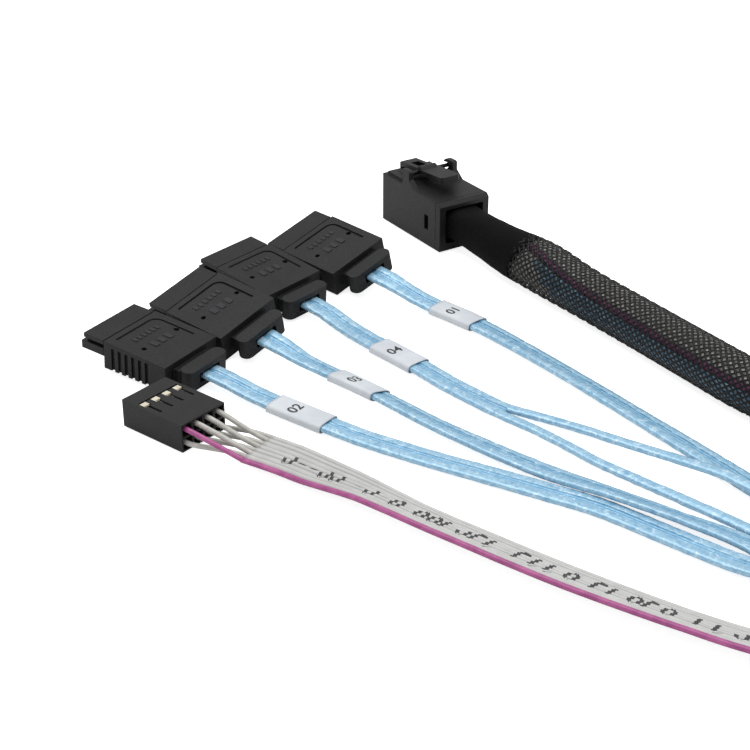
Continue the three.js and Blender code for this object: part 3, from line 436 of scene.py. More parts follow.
def pet_monofilament():
    """Black PET monofilament, several side by side in each of the braid's tapes."""
    made, tree, shader = start_material(
        "pet_monofilament", "#060607", 0.42, Specular_IOR_Level=0.3
    )
    place = add(tree, "ShaderNodeTexCoord").outputs["UV"]
    settings = {"bands_direction": "X", "Scale": 1.0, "Distortion": 0.0}
    filaments = add(tree, "ShaderNodeTexWave", settings, {"Vector": place}).outputs["Fac"]
    feed(tree, shader, Base_Color=two_colours(tree, filaments, "#040405", "#0e0e10", (0.1, 0.9)))
    return made


def crinkled_film(name, shade, light, painted_glint):
    """Blue polyester film round foil: small crosswise wrinkles, coloured with painted shade and
    light in their folds and a painted glint on their crests.
    """
    made, tree, shader = start_material(
        name, shade, 0.26, metallic=0.18, ior=1.58, Coat_Weight=0.5, Coat_Roughness=0.12
    )
    wrinkle = cloud(tree, 1.1, 4.0, Roughness=0.62, Distortion=0.9)
    place = add(tree, "ShaderNodeTexCoord").outputs["Object"]
    settings = {"Scale": 1 / (0.75 * MM), "feature": "F1"}
    fleck = add(tree, "ShaderNodeTexVoronoi", settings, {"Vector": place}).outputs["Distance"]
    # Colour follows the wrinkles: partly the film's own uneven tone over the foil, partly painted
    # shade and light on the folds.
    soft = two_colours(tree, wrinkle, shade, light, (0.3, 0.72))
    # Painted glint: the pale colour is mixed in where the wrinkles crest.
    painted_glint_mask = spread(tree, wrinkle, 0.58, 0.74, 0.0, 0.7)
    mixed = add(
        tree, "ShaderNodeMixRGB", {"Color2": linear(painted_glint)}, {"Fac": painted_glint_mask, "Color1": soft}
    )
    folds = bump(tree, wrinkle, 0.55, 0.16)
    creases = bump(tree, fleck, 0.4, 0.1, over=folds)
    feed(tree, shader, Base_Color=mixed.outputs["Color"], Normal=creases)
    return made


def plain_pvc(name, low, high, roughness, blotch_mm=2.2):
    """Extruded PVC insulation: even colour, a soft sheen and slight waves from the die."""
    made, tree, shader = start_material(name, low, roughness, ior=1.53)
    blotch = cloud(tree, blotch_mm, 3.0)
    colour = two_colours(tree, blotch, low, high)
    feed(tree, shader, Base_Color=colour, Normal=bump(tree, blotch, 0.15, 0.08))
    return made


def plated(name, low, high, roughness):
    """Thin plating on stamped metal, a little uneven in colour."""
    made, tree, shader = start_material(name, low, roughness, metallic=1.0)
    feed(tree, shader, Base_Color=two_colours(tree, cloud(tree, 0.6, 2.0), low, high))
    return made


shell_abs = moulded_abs("moulded_abs_shell", "#0d0d0f", "#131315", 0.48)
sata_abs = moulded_abs("moulded_abs_sata", "#0d0d0f", "#141416", 0.55, grain_mm=0.28, depth=0.09)
# Lighter than the plug's own plastic: painted highlight on the raised bars.
bar_highlight_abs = moulded_abs("moulded_abs_bars_painted_highlight", "#1a1a1d", "#222226", 0.45)
housing_pbt = moulded_abs("moulded_pbt_housing", "#0f0f11", "#151517", 0.5)
cover_abs = moulded_abs("moulded_abs_cover", "#0b0b0d", "#111113", 0.5)
heat_shrink = shrunk_polyolefin()
monofilament = pet_monofilament()
# The last colour given to each film is its painted glint.
blue_film = crinkled_film("polyester_film_blue", "#76abcd", "#b2d6ea", "#eaf6fc")
# The seam's film is darker than the legs' film: painted shade in the valley between a leg's two
# strands.
valley_shaded_film = crinkled_film("polyester_film_seam_painted_shade", "#5f9cc4", "#8cbddb", "#bfe0f2")
# Darker copy of the legs' film for the strands under the braid: painted shade.
sleeve_shaded_film = crinkled_film("polyester_film_painted_sleeve_shade", "#43708e", "#8fbad3", "#dcebf3")
grey_pvc = plain_pvc("pvc_grey", "#b9b9b7", "#c2c2c0", 0.42)
# Darker copy of the ribbon's grey for its webs: painted shade in the valleys between the wires.
valley_shade_pvc = plain_pvc("pvc_grey_web_painted_shade", "#a0a09e", "#a8a8a6", 0.5)
# Darker copy of the magenta for the edge wire under the braid: painted shade.
sleeve_shaded_magenta = plain_pvc("pvc_magenta_painted_sleeve_shade", "#6f3560", "#87416f", 0.45)
wire_pvc = plain_pvc("pvc_pale_grey", "#aeaca6", "#c1bfb9", 0.42)
magenta_pvc = plain_pvc("pvc_magenta", "#97417b", "#b0588f", 0.4)
label_film = plain_pvc("vinyl_label_white", "#c4cad0", "#d0d5da", 0.42, blotch_mm=5)
ink = plain_pvc("printing_ink", "#2f3033", "#3d3e41", 0.6)
label_ink = plain_pvc("label_ink", "#26272a", "#323336", 0.55)
solder_mask = plain_pvc("solder_mask_green", "#1f4a2c", "#275a36", 0.35)
gold_flash = plated("gold_flash", "#c9a75a", "#dfc483", 0.3)
tin_plate = plated("tin_and_gold_plate", "#e3d9c0", "#f5efe0", 0.45)
steel = plated("blackened_steel_pin", "#2b2c2e", "#3a3b3d", 0.42)


# Braided trunk


def circle(count, radius):
    """A ring of points for sweep."""
    angles = [2 * math.pi * k / count for k in range(count)]
    return [(radius * math.cos(angle), radius * math.sin(angle)) for angle in angles]


trunk = Route(TRUNK)
SLEEVE_START = PLUG_SHRINK_END + 0.3
SLEEVE_END = trunk.length - BREAKOUT_LENGTH - 0.3
BRAID_CARRIERS = 24
BRAID_TURN = 34.0  # one helix goes round once in this length
BRAID_STEP = 0.7
TAPE_HALF = 0.215
# A tape's section: place across in half widths, height above its middle
TAPE_SECTION = ((-1, 0.0), (-0.35, 0.1), (0.35, 0.1), (1, 0.0), (0, -0.1))
TAPE_INSET = 0.26  # how far the tapes' middle lies under the sleeve's radius
TAPE_LIFT = 0.11  # how far a tape rises and sinks where two cross
CREAM_END = 31  # up to about here the strands show cream, not blue
BUNDLE_START = 4.0
WIRE_RING = (3.85, 154, 17.5)  # the ribbon's wires: radius, first angle and step in degrees
STRAND_RING = (3.75, 3.2, 178, 26)  # the legs' strands: radius, radius near the plug, the angles
WIRE_SIZE, STRAND_SIZE, CORE_RADIUS = (1.25, 1.2), (1.9, 1.3), 2.9
SWELL_AT, SWELL_SPAN, SWELL_HEIGHT = 26, 9, 0.55


def swell(distance):
    """How much the trunk thickens and rises where the braid leaves the heat-shrink."""
    return SWELL_HEIGHT * math.exp(-(((distance - SWELL_AT) / SWELL_SPAN) ** 2))


def trunk_stations(start, end, step):
    """Stations along the trunk's true middle, lifted where it swells."""
    return [(d, at + UP * swell(d), *rest) for d, at, *rest in trunk.stations(start, end, step)]


def make_braid():
    """Black monofilament tapes in two hands, each over one and under the next."""
    lines = trunk_stations(SLEEVE_START - 1.2, SLEEVE_END + 2, BRAID_STEP)
    where = np.array([s[0] for s in lines])
    centre = np.array([s[1] for s in lines])
    left = np.array([s[3] for s in lines])
    over = np.array([s[4] for s in lines])
    along = np.gradient(centre, axis=0)
    along /= np.linalg.norm(along, axis=1)[:, None]
    thicker = np.array([swell(d) for d in where])
    rows, sides = len(lines), len(TAPE_SECTION)
    vertices, faces, uv = [], [], []
    for hand in (1, -1):
        tilt = hand * math.atan(2 * math.pi * SLEEVE_RADIUS / BRAID_TURN)
        for carrier in range(BRAID_CARRIERS):
            angle = hand * 2 * math.pi * where / BRAID_TURN + 2 * math.pi * carrier / BRAID_CARRIERS
            phase = BRAID_CARRIERS * where * 2 * math.pi / BRAID_TURN + math.pi * carrier
            lift = hand * TAPE_LIFT * np.sin(phase)
            base = len(vertices)
            for across, above in TAPE_SECTION:
                off = across * TAPE_HALF
                swing = angle + off * math.cos(tilt) / SLEEVE_RADIUS
                slide = -off * math.sin(tilt)
                radius = SLEEVE_RADIUS - TAPE_INSET + thicker + lift + above
                point = (
                    centre
                    + along * slide
                    + left * (radius * np.cos(swing))[:, None]
                    + over * (radius * np.sin(swing))[:, None]
                )
                vertices.extend(map(tuple, point))
                uv.extend((across, float(d)) for d in where)
            for i in range(rows - 1):
                for k in range(sides):
                    a = base + k * rows + i
                    b = base + ((k + 1) % sides) * rows + i
                    faces.append((a, a + 1, b + 1, b) if hand > 0 else (a, b, b + 1, a + 1))
            faces.append([base + k * rows for k in range(sides)])
            faces.append([base + k * rows + rows - 1 for k in reversed(range(sides))])
    return new_piece(
        "braid_tapes", vertices, faces, monofilament, "braid", replaces=["braided_sleeve"], uv=uv
    )


def make_bundle():
    """What shows through the braid: blue strands, and the grey ribbon with its magenta edge."""
    vertices, faces, picks = [], [], []
    blue, grey, magenta = 0, 1, 2
    # Blue and magenta seen through the braid are darker copies: painted shade under the braid.
    finishes = [sleeve_shaded_film, wire_pvc, sleeve_shaded_magenta]
    end_at = trunk.length - 0.4
    lines = trunk_stations(BUNDLE_START, end_at, 1.3)

    def strand(angle_at, radius_at, size, pick, sides=8):
        base = len(vertices)
        for distance, centre, _, left, over in lines:
            angle, radius = angle_at(distance), radius_at(distance) + swell(distance)
            out = left * math.cos(angle) + over * math.sin(angle)
            round_way = over * math.cos(angle) - left * math.sin(angle)
            for x, y in rounded_oval(*size, 2, sides):
                vertices.append(centre + out * (radius + y) + round_way * x)
        for i, (distance, *_) in enumerate(lines[:-1]):
            creamy = distance < CREAM_END + 6 * math.sin(angle_at(distance) - 3.4)
            for k in range(sides):
                a, b = base + i * sides + k, base + i * sides + (k + 1) % sides
                faces.append((a, a + sides, b + sides, b))
                picks.append(grey if creamy and pick == blue else pick)
        for end in (0, len(lines) - 1):
            ring = [base + end * sides + k for k in range(sides)]
            faces.append(ring if end == 0 else ring[::-1])
            picks.append(pick)

    def drift(distance):
        """The bundle lies nearly straight and rolls a little near the plug."""
        return math.radians(45 * math.exp(-(distance - 22) / 14) - 0.1 * (distance - 60))

    def neck(distance):
        """How far the bundle is drawn in behind the plug."""
        return 1 - 0.32 * math.exp(-(((distance - 2) / 8) ** 2))

    wire_radius, first, step = WIRE_RING
    for i in range(RIBBON_WIRES):
        turn = math.radians(first - i * step)
        strand(
            lambda d, a=turn: a - drift(d),
            lambda d: wire_radius * neck(d),
            WIRE_SIZE,
            magenta if i == 0 else grey,
        )
    radius, near, first, step = STRAND_RING

    def strand_radius(distance):
        """The strands come up to the braid once they are clear of the heat-shrink."""
        return (near + (radius - near) / (1 + math.exp(-(distance - 32) / 2.4))) * neck(distance)

    for i in range(7):
        turn = math.radians(first + i * step)
        strand(lambda d, a=turn: a - drift(d), strand_radius, STRAND_SIZE, blue)
    core = trunk_stations(BUNDLE_START, end_at, 5)
    base = len(vertices)
    more, more_faces, _ = sweep(core, lambda d: circle(10, CORE_RADIUS * neck(d)))
    vertices.extend(more)
    faces.extend([tuple(base + v for v in f) for f in more_faces])
    picks.extend([grey] * len(more_faces))
    return new_piece(
        "wires_in_sleeve",
        vertices,
        faces,
        (finishes, picks),
        "blue_film",
        replaces=["braided_sleeve"],
    )


SHRINK_SIDES = 40
NECK_HALF_WIDTH, NECK_HALF_HEIGHT = 4.35, 3.4
SLANTED_RINGS = 6  # the rings over which the sleeving's cut end turns slantwise


def shrink_section(radius, seed, wrap=0.09):
    """Round, with soft ridges where the sleeving grips what is in it."""

    def section(distance):
        ring = []
        for k in range(SHRINK_SIDES):
            angle = 2 * math.pi * k / SHRINK_SIDES
            place = Vector((math.cos(angle) * 2.2, math.sin(angle) * 2.2, distance * 0.32 + seed))
            grip = noise.noise(place) * wrap + noise.noise(place * 3.1) * wrap * 0.35
            ring.append(((radius + grip) * math.cos(angle), (radius + grip) * math.sin(angle)))
        return ring

    return section


def make_plug_shrink():
    """Sleeving behind the plug: boxy inside the cover, round over the braid's end."""
    round_form = shrink_section(SLEEVE_RADIUS - 0.12, 3)
    stations = trunk_stations(0, PLUG_SHRINK_END + 0.6, 0.6)
    directions = stations[0][2:]
    lead = [(d, Vector((0, 12 + d, 5.32)), *directions) for d in (-2.2, -1.6, -1.0, -0.5)]

    def section(distance):
        mix = min(max((distance + 0.5) / 9.5, 0), 1)
        mix = mix * mix * (3 - 2 * mix)
        waist = 1 - 0.07 * math.exp(-(((distance - 7) / 6) ** 2)) + swell(distance) / SLEEVE_RADIUS
        made = []
        for k, (x, y) in enumerate(round_form(distance)):
            angle = 2 * math.pi * k / SHRINK_SIDES
            c, s = math.cos(angle), math.sin(angle)
            box_x = math.copysign(abs(c) ** 0.55, c) * NECK_HALF_WIDTH
            box_y = math.copysign(abs(s) ** 0.55, s) * NECK_HALF_HEIGHT
            made.append(((box_x + (x - box_x) * mix) * waist, (box_y + (y - box_y) * mix) * waist))
        return made

    vertices, faces, uv = sweep(lead + stations, section)
    rings = len(lead) + len(stations)
    along = stations[-1][2]
    for r in range(rings - SLANTED_RINGS, rings):
        share = (r - (rings - SLANTED_RINGS)) / (SLANTED_RINGS - 1)
        for k in range(SHRINK_SIDES):
            angle = 2 * math.pi * k / SHRINK_SIDES
            slant = 1.5 * math.cos(angle - 0.6) + 0.35 * math.sin(3 * angle)
            vertices[r * SHRINK_SIDES + k] += along * (slant * share)
    return new_piece(
        "neck_heat_shrink",
        vertices,
        faces,
        heat_shrink,
        "heat_shrink",
        replaces=["plug_heat_shrink"],
        uv=uv,
    )


def make_breakout_shrink():
    """Sleeving where the braid ends and the legs begin, rounded at both cut ends."""
    start = trunk.length - BREAKOUT_LENGTH
    radius = BREAKOUT_RADIUS - 0.1
    form = shrink_section(radius, 11, wrap=0.12)

    def section(distance):
        from_end = min(distance - start, trunk.length - distance)
        size = 1 - 0.35 * math.exp(-from_end / 0.5) / radius
        return [(x * size, y * size) for x, y in form(distance)]

    vertices, faces, uv = sweep(trunk.stations(start, trunk.length, 0.8), section)
    return new_piece(
        "breakout_sleeving",
        vertices,
        faces,
        heat_shrink,
        "heat_shrink",
        replaces=["breakout_heat_shrink"],
        uv=uv,
    )


# Legs

SEAM_SECTION = (
    (0.62, 0.5), (0.1, 0.44), (0.0, 0.36), (-0.1, 0.44),
    (-0.62, 0.5), (-0.62, -0.5), (0.0, -0.4), (0.62, -0.5),
)
SEAM_ENDS = {4: 57.5}  # where a leg's strands part for good
SEAM_MOST_SPREAD = 2.75
DIGIT_SIZE, DIGIT_BOLDNESS, DIGIT_SHIFT = 2.9, 0.045, 0.35
DIGIT_LIFT = 0.035  # above the label, so that the two don't flicker


def film_section(seed):
    """A flat strand in film: small facets and wrinkles that change every half millimetre."""
    base = rounded_oval(STRAND_WIDTH, STRAND_THICKNESS, STRAND_POWER, 18)

    def section(distance):
        ring = []
        for x, y in base:
            place = Vector((x * 1.1 + seed, y * 1.4, distance * 0.85))
            fold = noise.noise(place) * 0.055 + noise.noise(place * 2.7) * 0.03
            size = 1 + fold / 0.8 - 0.04
            ring.append((x * size, y * size))
        return ring

    return section


def make_strand(number, letter, side):
    """One strand of a leg, and its route."""
    route = Route(LEGS[number], side)
    stations = route.stations(0, route.length, 0.45)
    vertices, faces, uv = sweep(stations, film_section(number * 10 + side))
    piece = new_piece(
        f"leg_{number}_film_{letter}",
        vertices,
        faces,
        blue_film,
        "blue_film",
        replaces=[f"leg_{number}_strand_{letter}"],
        uv=uv,
    )
    return piece, route


def make_seam(number):
    """The welded film between a leg's two strands, where they lie side by side."""
    route = Route(LEGS[number])
    end = SEAM_ENDS.get(number, route.length)
    stations = [
        station
        for station in route.stations(0, end, 0.6)
        if route.value(route.t_of(station[0]), 4) < SEAM_MOST_SPREAD
    ]
    vertices, faces, uv = sweep(stations, lambda d: SEAM_SECTION)
    # Its darker film is painted shade in the valley between the strands.
    return new_piece(f"leg_{number}_seam", vertices, faces, valley_shaded_film, "blue_film", uv=uv)


def label_top(across):
    """The height of a label's top over its middle, at a place across it."""
    share = min(abs(across) / (LABEL_WIDTH / 2), 1)
    return LABEL_HEIGHT / 2 * (1 - share**LABEL_POWER) ** (1 / LABEL_POWER)


def make_label(number):
    """A wrap label on both strands, with the leg's number on top."""
    route = Route(LEGS[number])
    start, length = LABELS[number]
    stations = route.stations(start, start + length, 0.5)
    outside = rounded_oval(LABEL_WIDTH, LABEL_HEIGHT, LABEL_POWER, 36)
    inside = rounded_oval(
        LABEL_WIDTH - 2 * LABEL_FILM, LABEL_HEIGHT - 2 * LABEL_FILM, LABEL_POWER, 36
    )
    vertices, faces = [], []
    for shape in (outside, inside):
        for distance, centre, _, left, over in stations:
            for x, y in shape:
                ripple = 0.03 * noise.noise(Vector((x * 0.9, distance * 0.5, number)))
                vertices.append(centre + left * (x * (1 + ripple / 2)) + over * (y * (1 + ripple)))
    count, rings = len(outside), len(stations)
    for layer in (0, 1):
        for i in range(rings - 1):
            for k in range(count):
                a = (layer * rings + i) * count + k
                b = (layer * rings + i) * count + (k + 1) % count
                quad = (a, b, b + count, a + count)
                faces.append(quad if layer == 0 else quad[::-1])
    for i, flip in ((0, True), (rings - 1, False)):
        for k in range(count):
            a, b = i * count + k, i * count + (k + 1) % count
            c, d = b + rings * count, a + rings * count
            faces.append((a, d, c, b) if flip else (a, b, c, d))
    label = new_piece(
        f"wrap_label_{number}", vertices, faces, label_film, "label", replaces=[f"label_{number}"]
    )
    return label, make_digit(number, stations)


def make_digit(number, stations):
    """The leg's number, printed across the cable with its top towards the plug."""
    text = bpy.data.curves.new("digit", "FONT")
    text.body = f"0{number}"
    text.size = DIGIT_SIZE
    text.offset = DIGIT_BOLDNESS
    text.align_x = "CENTER"
    text.align_y = "CENTER"
    text.resolution_u = 3
    holder = bpy.data.objects.new("digit", text)
    bpy.context.scene.collection.objects.link(holder)
    bpy.context.view_layer.update()
    shown = holder.evaluated_get(bpy.context.evaluated_depsgraph_get())
    flat = bpy.data.meshes.new_from_object(shown)
    bpy.data.objects.remove(holder)
    cut = bmesh.new()
    cut.from_mesh(flat)
    bmesh.ops.triangulate(cut, faces=cut.faces)
    bmesh.ops.subdivide_edges(cut, edges=cut.edges, cuts=1)
    _, centre, along, left, over = stations[len(stations) // 2 - 2]
    vertices = []
    for corner in cut.verts:
        across, up = corner.co.x - DIGIT_SHIFT, corner.co.y
        lift = label_top(across) + DIGIT_LIFT
        vertices.append(centre + left * across - along * up + over * lift)
    faces = [[v.index for v in face.verts] for face in cut.faces]
    cut.free()
    return new_piece(f"digit_{number}", vertices, faces, label_ink, "label")


# Ribbon


ribbon = Route(RIBBON)
RIBBON_LOBE = 0.47
RIBBON_WEB = 0.2
RIBBON_EDGE = 0.16  # how far each edge lies inside the ribbon's full width
# Ink strokes: their ends and middle across the ribbon, a ring's radii across and along it,
# the length of a stroke along it, half a stroke's width, and its height over the ribbon
MARK_LOW, MARK_HIGH, MARK_MIDDLE = -2.1, 1.6, -0.25
RING_ACROSS, RING_ALONG = 1.75, 0.85
MARK_ALONG, MARK_HALF, MARK_LIFT = 1.3, 0.31, 0.045


def ribbon_height(across):
    """Half thickness of the ribbon at a place across it."""
    wire = round(across / RIBBON_PITCH - 0.5) + 0.5
    off = across - wire * RIBBON_PITCH
    return math.sqrt(max(RIBBON_LOBE**2 - off**2, RIBBON_WEB**2))


def make_ribbon():
    """Eight round wires joined by thin webs, the edge wire magenta."""
    half = RIBBON_WIRES * RIBBON_PITCH / 2
    places = np.linspace(half - RIBBON_EDGE, -half + RIBBON_EDGE, RIBBON_WIRES * 10 + 1)
    top = [(x, ribbon_height(x)) for x in places]
    ring = top + [(x, -y) for x, y in reversed(top)]

    def section(distance):
        wave = 0.03 * noise.noise(Vector((distance * 0.3, 0, 5)))
        return [(x, y + wave * math.cos(x)) for x, y in ring]

    vertices, faces, uv = sweep(ribbon.stations(0, ribbon.length, 1.0), section)
    grey, magenta, webs = 0, 1, 2
    picks = []
    for face in faces:
        across = [ring[v % len(ring)][0] for v in face[:4]]
        side = len(face) == 4
        edge = side and max(across) < -half + RIBBON_PITCH + 0.02
        # Web faces take the darker grey: painted shade in the valleys.
        web = side and ribbon_height(sum(across) / len(across)) < RIBBON_WEB + 0.06
        picks.append(magenta if edge else webs if web else grey)
    return new_piece(
        "ribbon_strip",
        vertices,
        faces,
        ([grey_pvc, magenta_pvc, valley_shade_pvc], picks),
        "ribbon_vinyl",
        replaces=["ribbon_cable"],
        uv=uv,
    )


def make_ribbon_marks():
    """Plain ink strokes in groups along the ribbon, which say nothing."""
    vertices, faces = [], []

    def draw(start, end):
        """A straight stroke between two places, each (across, distance)."""
        (a0, d0), (a1, d1) = start, end
        base = len(vertices)
        steps = max(3, math.ceil(math.hypot(a1 - a0, d1 - d0) / 0.12))
        half = Vector((a1 - a0, d1 - d0)).normalized() * MARK_HALF
        for i in range(steps + 1):
            across = a0 + (a1 - a0) * i / steps
            distance = d0 + (d1 - d0) * i / steps
            for way in (1, -1):
                a = across - half.y * way
                t = ribbon.t_of(distance + half.x * way)
                _, left, over = ribbon.frame_at(t)
                vertices.append(ribbon.at(t) + left * a + over * (ribbon_height(a) + MARK_LIFT))
        for i in range(steps):
            a = base + 2 * i
            faces.append((a, a + 2, a + 3, a + 1))

    place = 6.0
    while place < ribbon.length - 20:
        for _ in range(random.choice((4, 5, 6))):
            lean = random.uniform(-0.3, 0.3)
            kind = random.choice(("upright", "ring", "corner", "arc", "dash", "ring"))
            runs = [((MARK_LOW, place), (MARK_HIGH, place + lean))]
            if kind in ("ring", "arc"):
                eighths = range(9) if kind == "ring" else range(1, 7)
                dots = [
                    (
                        MARK_MIDDLE + RING_ACROSS * math.cos(k * math.pi / 4),
                        place + RING_ALONG + RING_ALONG * math.sin(k * math.pi / 4),
                    )
                    for k in eighths
                ]
                runs = list(zip(dots, dots[1:]))
            elif kind == "corner":
                end = random.choice((MARK_LOW, MARK_HIGH))
                runs.append(((end, place), (end * 0.85, place + MARK_ALONG)))
            elif kind == "dash":
                runs = [((MARK_MIDDLE, place), (MARK_MIDDLE + 0.05, place + MARK_ALONG))]
            for run in runs:
                draw(*run)
            place += random.uniform(2.5, 2.9)
        place += random.uniform(1.4, 2.6)
    return new_piece("ribbon_marks", vertices, faces, ink, "ribbon_vinyl")


# Small blocks and wires at the plugs

BLOCK_FACES = (
    (0, 2, 3, 1), (4, 5, 7, 6), (0, 1, 5, 4), (2, 6, 7, 3), (0, 4, 6, 2), (1, 3, 7, 5),
)
# Rows of bars on a SATA plug: count, first y, pitch, size along y, x from and to, x of their height
BAR_ROWS = ((6, 3.6, 1.2, 0.65, -10.9, -9.7, -10.4), (3, 4.7, 1.9, 1.1, -7.7, -5.9, -7))
BAR_ROOT, BAR_RISE = 0.2, 0.1
PAD_COUNT, PAD_FIRST, PAD_PITCH, PAD_HALF = 12, -4.4, 0.8, 0.22
PAD_FRONT, PAD_BACK = -9.2, -6.6
PAD_ROOT, PAD_RISE = 0.02, 0.03
TIP_FRONT, TIP_BACK, TIP_HALF = 3.66, 4.75, 0.66
TIP_DEPTH, TIP_SUNK = 0.7, 0.04
WIRE_DIAMETER = 0.92
WIRE_START = 12.7  # inside the crimp housing
WIRE_LEAD, WIRE_REACH = 0.6, 3.6  # a wire's straight ends, at the housing and at the ribbon


def bars(name, boxes, place, finish, slot):
    """Small blocks between (low, high) corners, put in place by a function."""
    vertices, faces = [], []
    for low, high in boxes:
        base = len(vertices)
        for i in range(8):
            corner = [(high if i >> axis & 1 else low)[axis] for axis in range(3)]
            vertices.append(place(*corner))
        for face in BLOCK_FACES:
            faces.append([base + v for v in face])
    return new_piece(name, vertices, faces, finish, slot, smooth=False)


def make_sata_bars(number):
    """Raised bars on a SATA plug's top: two rows that stand where a maker would put words."""
    x0, y0, turn, tilt, roll = SATA_POSES[number]
    turned = (
        Matrix.Rotation(math.radians(turn), 3, "Z")
        @ Matrix.Rotation(math.radians(tilt), 3, "Y")
        @ Matrix.Rotation(math.radians(roll), 3, "X")
    )

    def place(x, y, z):
        return turned @ Vector((x, y, z)) + Vector((x0, y0, 0))

    boxes = []
    for count, first, pitch, length, x_from, x_to, x_height in BAR_ROWS:
        top = SATA_REAR + (SATA_FRONT - SATA_REAR) * -x_height / SATA_LENGTH
        for i in range(count):
            y = first + i * pitch
            boxes.append(((x_from, y, top - BAR_ROOT), (x_to, y + length, top + BAR_RISE)))
    # The bars take a lighter copy of the plug's plastic: painted highlight.
    return bars(f"sata_{number}_bars", boxes, place, bar_highlight_abs, "sata_plastic")


def make_card_pads():
    """Gold contact pads on both faces of the two paddle cards, at their front edges."""
    boxes = []
    for middle in CARD_MIDDLES:
        for side in (1, -1):
            face = middle + side * CARD_THICKNESS / 2
            low, high = sorted((face - side * PAD_ROOT, face + side * PAD_RISE))
            for i in range(PAD_COUNT):
                x = PAD_FIRST + i * PAD_PITCH
                boxes.append(((x - PAD_HALF, PAD_FRONT, low), (x + PAD_HALF, PAD_BACK, high)))
    return bars("card_pads", boxes, lambda x, y, z: Vector((x, y, z)), gold_flash, "contact_metal")


def make_contact_tips():
    """The contacts' plated tongues, seen in the housing's windows."""
    top = 2 * HEADER_EDGE + 2 * HEADER_PITCH
    boxes = []
    for low, high in ((top - TIP_DEPTH, top - TIP_SUNK), (TIP_SUNK, TIP_DEPTH)):
        for column in range(RIBBON_WIRES // 2):
            y = HEADER_EDGE + (column + 0.5) * HEADER_PITCH
            boxes.append(((TIP_FRONT, y - TIP_HALF, low), (TIP_BACK, y + TIP_HALF, high)))
    return bars("contact_tips", boxes, header_point, tin_plate, "contact_metal")


def header_point(x, y, z):
    """Where a place given in the crimp housing's own directions lies on the table."""
    turned = Matrix.Rotation(math.radians(HEADER_TURN), 3, "Z") @ Vector((x, y, z))
    return turned + Vector((*HEADER_AT, 0))


def make_header_wires():
    """Eight wires from the housing's ways to the ribbon, odd ones high and even ones low."""
    begin = ribbon.at(0)
    along, left, _ = ribbon.frame_at(0)
    made = []
    for wire in range(RIBBON_WIRES):
        column, row = wire // 2, 1 - wire % 2
        y = HEADER_EDGE + (column + 0.5) * HEADER_PITCH
        z = HEADER_EDGE + (row + 0.5) * HEADER_PITCH
        offset = (wire - (RIBBON_WIRES - 1) / 2) * RIBBON_PITCH
        end = begin + left * offset + along * 0.4
        points = [
            header_point(WIRE_START, y, z),
            header_point(HEADER_LENGTH + WIRE_LEAD, y, z),
            end - along * WIRE_REACH + UP * (row * 0.9) + left * random.uniform(-0.3, 0.3),
            end,
        ]
        route = Route([list(p) for p in points])
        vertices, faces, uv = sweep(
            route.stations(0, route.length, 0.5),
            lambda d: rounded_oval(WIRE_DIAMETER, WIRE_DIAMETER, 2, 12),
        )
        made.append(
            new_piece(
                f"way_wire_{wire + 1}",
                vertices,
                faces,
                magenta_pvc if wire == 0 else wire_pvc,
                "edge_vinyl" if wire == 0 else "ribbon_vinyl",
                replaces=[f"header_wire_{wire + 1}"],
                uv=uv,
            )
        )
    return made


# Plugs and housings from the solids, with eased edges

for node, finish, slot_name, ease in (
    ("plug_housing", shell_abs, "plug_plastic", 0.22),
    ("paddle_card_lower", solder_mask, "circuit_board", 0.08),
    ("paddle_card_upper", solder_mask, "circuit_board", 0.08),
    ("wire_block", heat_shrink, "heat_shrink", 0.3),
    ("crimp_housing", housing_pbt, "housing_plastic", 0.12),
    ("latch_pin", steel, "steel", 0.1),
):
    eased_copy(node, finish, slot_name, ease=ease)


def close_joint(made):
    """The rear cover is pressed onto the shell, so its front face stands at the shell's rear."""
    for corner in made.verts:
        if corner.co.y < COVER_FRONT * MM:
            corner.co.y = SHELL_REAR * MM


eased_copy("plug_rear_cover", cover_abs, "cover_plastic", ease=0.12, extra=close_joint)
eased_copy("latch_lever", shell_abs, "plug_plastic", body="latch", ease=0.18)

sata_pieces = {}
for number in LEGS:
    sata_pieces[number] = [
        eased_copy(f"sata_{number}_moulding", sata_abs, "sata_plastic", ease=0.11),
        eased_copy(f"sata_{number}_carrier", sata_abs, "sata_plastic", ease=0.14),
        make_sata_bars(number),
    ]
make_card_pads()
contact_pieces = [
    eased_copy(f"crimp_contact_{way}", tin_plate, "contact_metal", ease=0.12) for way in range(1, 9)
]

# Cords

braid = make_braid()
bundle = make_bundle()
neck = make_plug_shrink()
mouth = make_breakout_shrink()
trunk_line = [s[1] * MM for s in trunk.stations(SLEEVE_START - 1, SLEEVE_END + 1.8, 4)]
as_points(trunk_line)

for number in LEGS:
    label, digit = make_label(number)
    seam = make_seam(number)
    for letter, side, carried in (
        ("a", 1, [sata_pieces[number][0], sata_pieces[number][2], label, digit, seam]),
        ("b", -1, [sata_pieces[number][1]]),
    ):
        strand, route = make_strand(number, letter, side)
        line = [s[1] * MM for s in reversed(route.stations(0, route.length, 2))]
        tuple(line[0])
        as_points(line)
        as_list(carried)

strip = make_ribbon()
marks = make_ribbon_marks()
wires = make_header_wires()
ribbon_line = [s[1] * MM for s in reversed(ribbon.stations(0, ribbon.length, 3))]
tuple(ribbon_line[0])
make_contact_tips()
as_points(ribbon_line)

# Floor, light and camera


TABLE_GLOW, TABLE_SIDE, TABLE_DROP = 0.8, 6, 0.0003
STUDIO_LIGHT = 0.62
LAMP_AIM = Vector((0.03, 0.07, 0))
# Name, place, side of the square and power, in metres and watts
LAMPS = (
    ("soft_top", (0.1, -0.1, 0.9), 0.9, 5.5),
    ("soft_side", (-0.7, 0.5, 0.5), 0.6, 2.0),
)


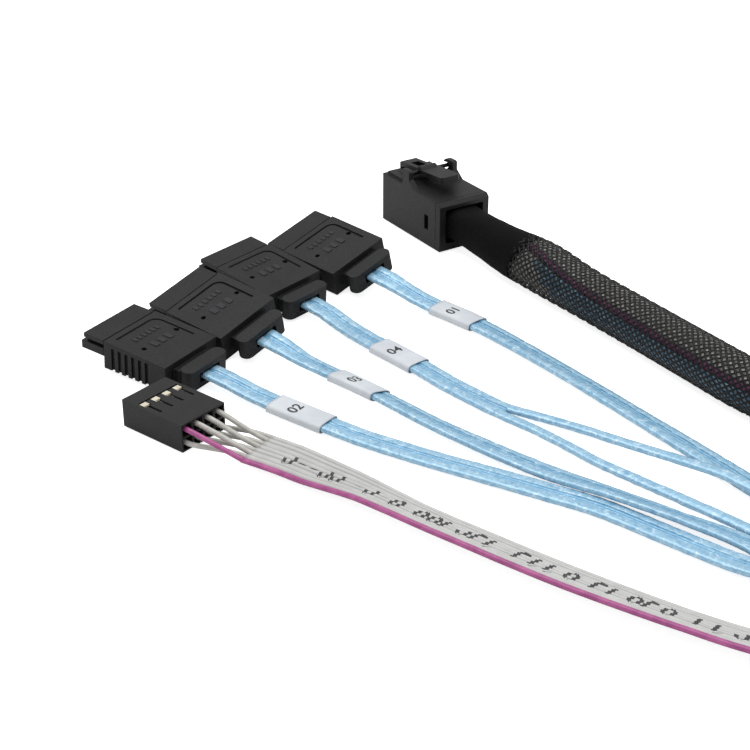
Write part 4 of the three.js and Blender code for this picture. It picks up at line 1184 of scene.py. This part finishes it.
def floor_and_light():
    """A white studio: the table looks white to the camera and takes a faint shadow."""
    made, tree, shader = start_material("white_table", "#ededed", 0.9)
    path = add(tree, "ShaderNodeLightPath")
    glow = add(tree, "ShaderNodeEmission", {"Color": (1, 1, 1, 1), "Strength": TABLE_GLOW})
    none = add(tree, "ShaderNodeEmission", {"Color": (0, 0, 0, 1), "Strength": 0.0})
    seen = add(
        tree,
        "ShaderNodeMixShader",
        links={0: path.outputs["Is Camera Ray"], 1: none.outputs[0], 2: glow.outputs[0]},
    )
    total = add(tree, "ShaderNodeAddShader", links={0: shader.outputs[0], 1: seen.outputs[0]})
    tree.links.new(total.outputs[0], tree.nodes["Material Output"].inputs["Surface"])
    bpy.ops.mesh.primitive_plane_add(size=TABLE_SIDE, location=(0, 0, -TABLE_DROP))
    table = bpy.context.object
    table.name = "white_table"
    table.data.materials.append(made)

    world = bpy.data.worlds.new("studio")
    bpy.context.scene.world = world
    world.use_nodes = True
    tree = world.node_tree
    tree.nodes["Background"].inputs["Color"].default_value = (1, 1, 1, 1)
    tree.nodes["Background"].inputs["Strength"].default_value = STUDIO_LIGHT
    white = add(tree, "ShaderNodeBackground", {"Color": (1, 1, 1, 1), "Strength": 1.0})
    path = add(tree, "ShaderNodeLightPath")
    mix = add(
        tree,
        "ShaderNodeMixShader",
        links={
            0: path.outputs["Is Camera Ray"],
            1: tree.nodes["Background"].outputs[0],
            2: white.outputs[0],
        },
    )
    tree.links.new(mix.outputs[0], tree.nodes["World Output"].inputs["Surface"])

    for name, spot, size, power in LAMPS:
        lamp = bpy.data.lights.new(name, "AREA")
        lamp.size = size
        lamp.energy = power
        holder = bpy.data.objects.new(name, lamp)
        holder.location = spot
        aim = LAMP_AIM - Vector(spot)
        holder.rotation_euler = aim.to_track_quat("-Z", "Y").to_euler()
        bpy.context.scene.collection.objects.link(holder)


floor_and_light()

camera = bpy.data.cameras.new("photo_camera")
camera.sensor_width = SENSOR_WIDTH
camera.lens = SENSOR_WIDTH * FOCAL_PIXELS / PHOTO_SIDE
camera.clip_start = 0.01
camera.clip_end = 20
viewer = bpy.data.objects.new("photo_camera", camera)
viewer.location = Vector(CAMERA_AT) * MM
down = math.radians(CAMERA_DOWN)
heading_x, heading_y = CAMERA_HEADING
look = Vector((heading_x * math.cos(down), heading_y * math.cos(down), -math.sin(down)))
viewer.rotation_euler = look.to_track_quat("-Z", "Y").to_euler()
bpy.context.scene.collection.objects.link(viewer)
bpy.context.scene.camera = viewer
bpy.context.scene.view_settings.view_transform = "Standard"
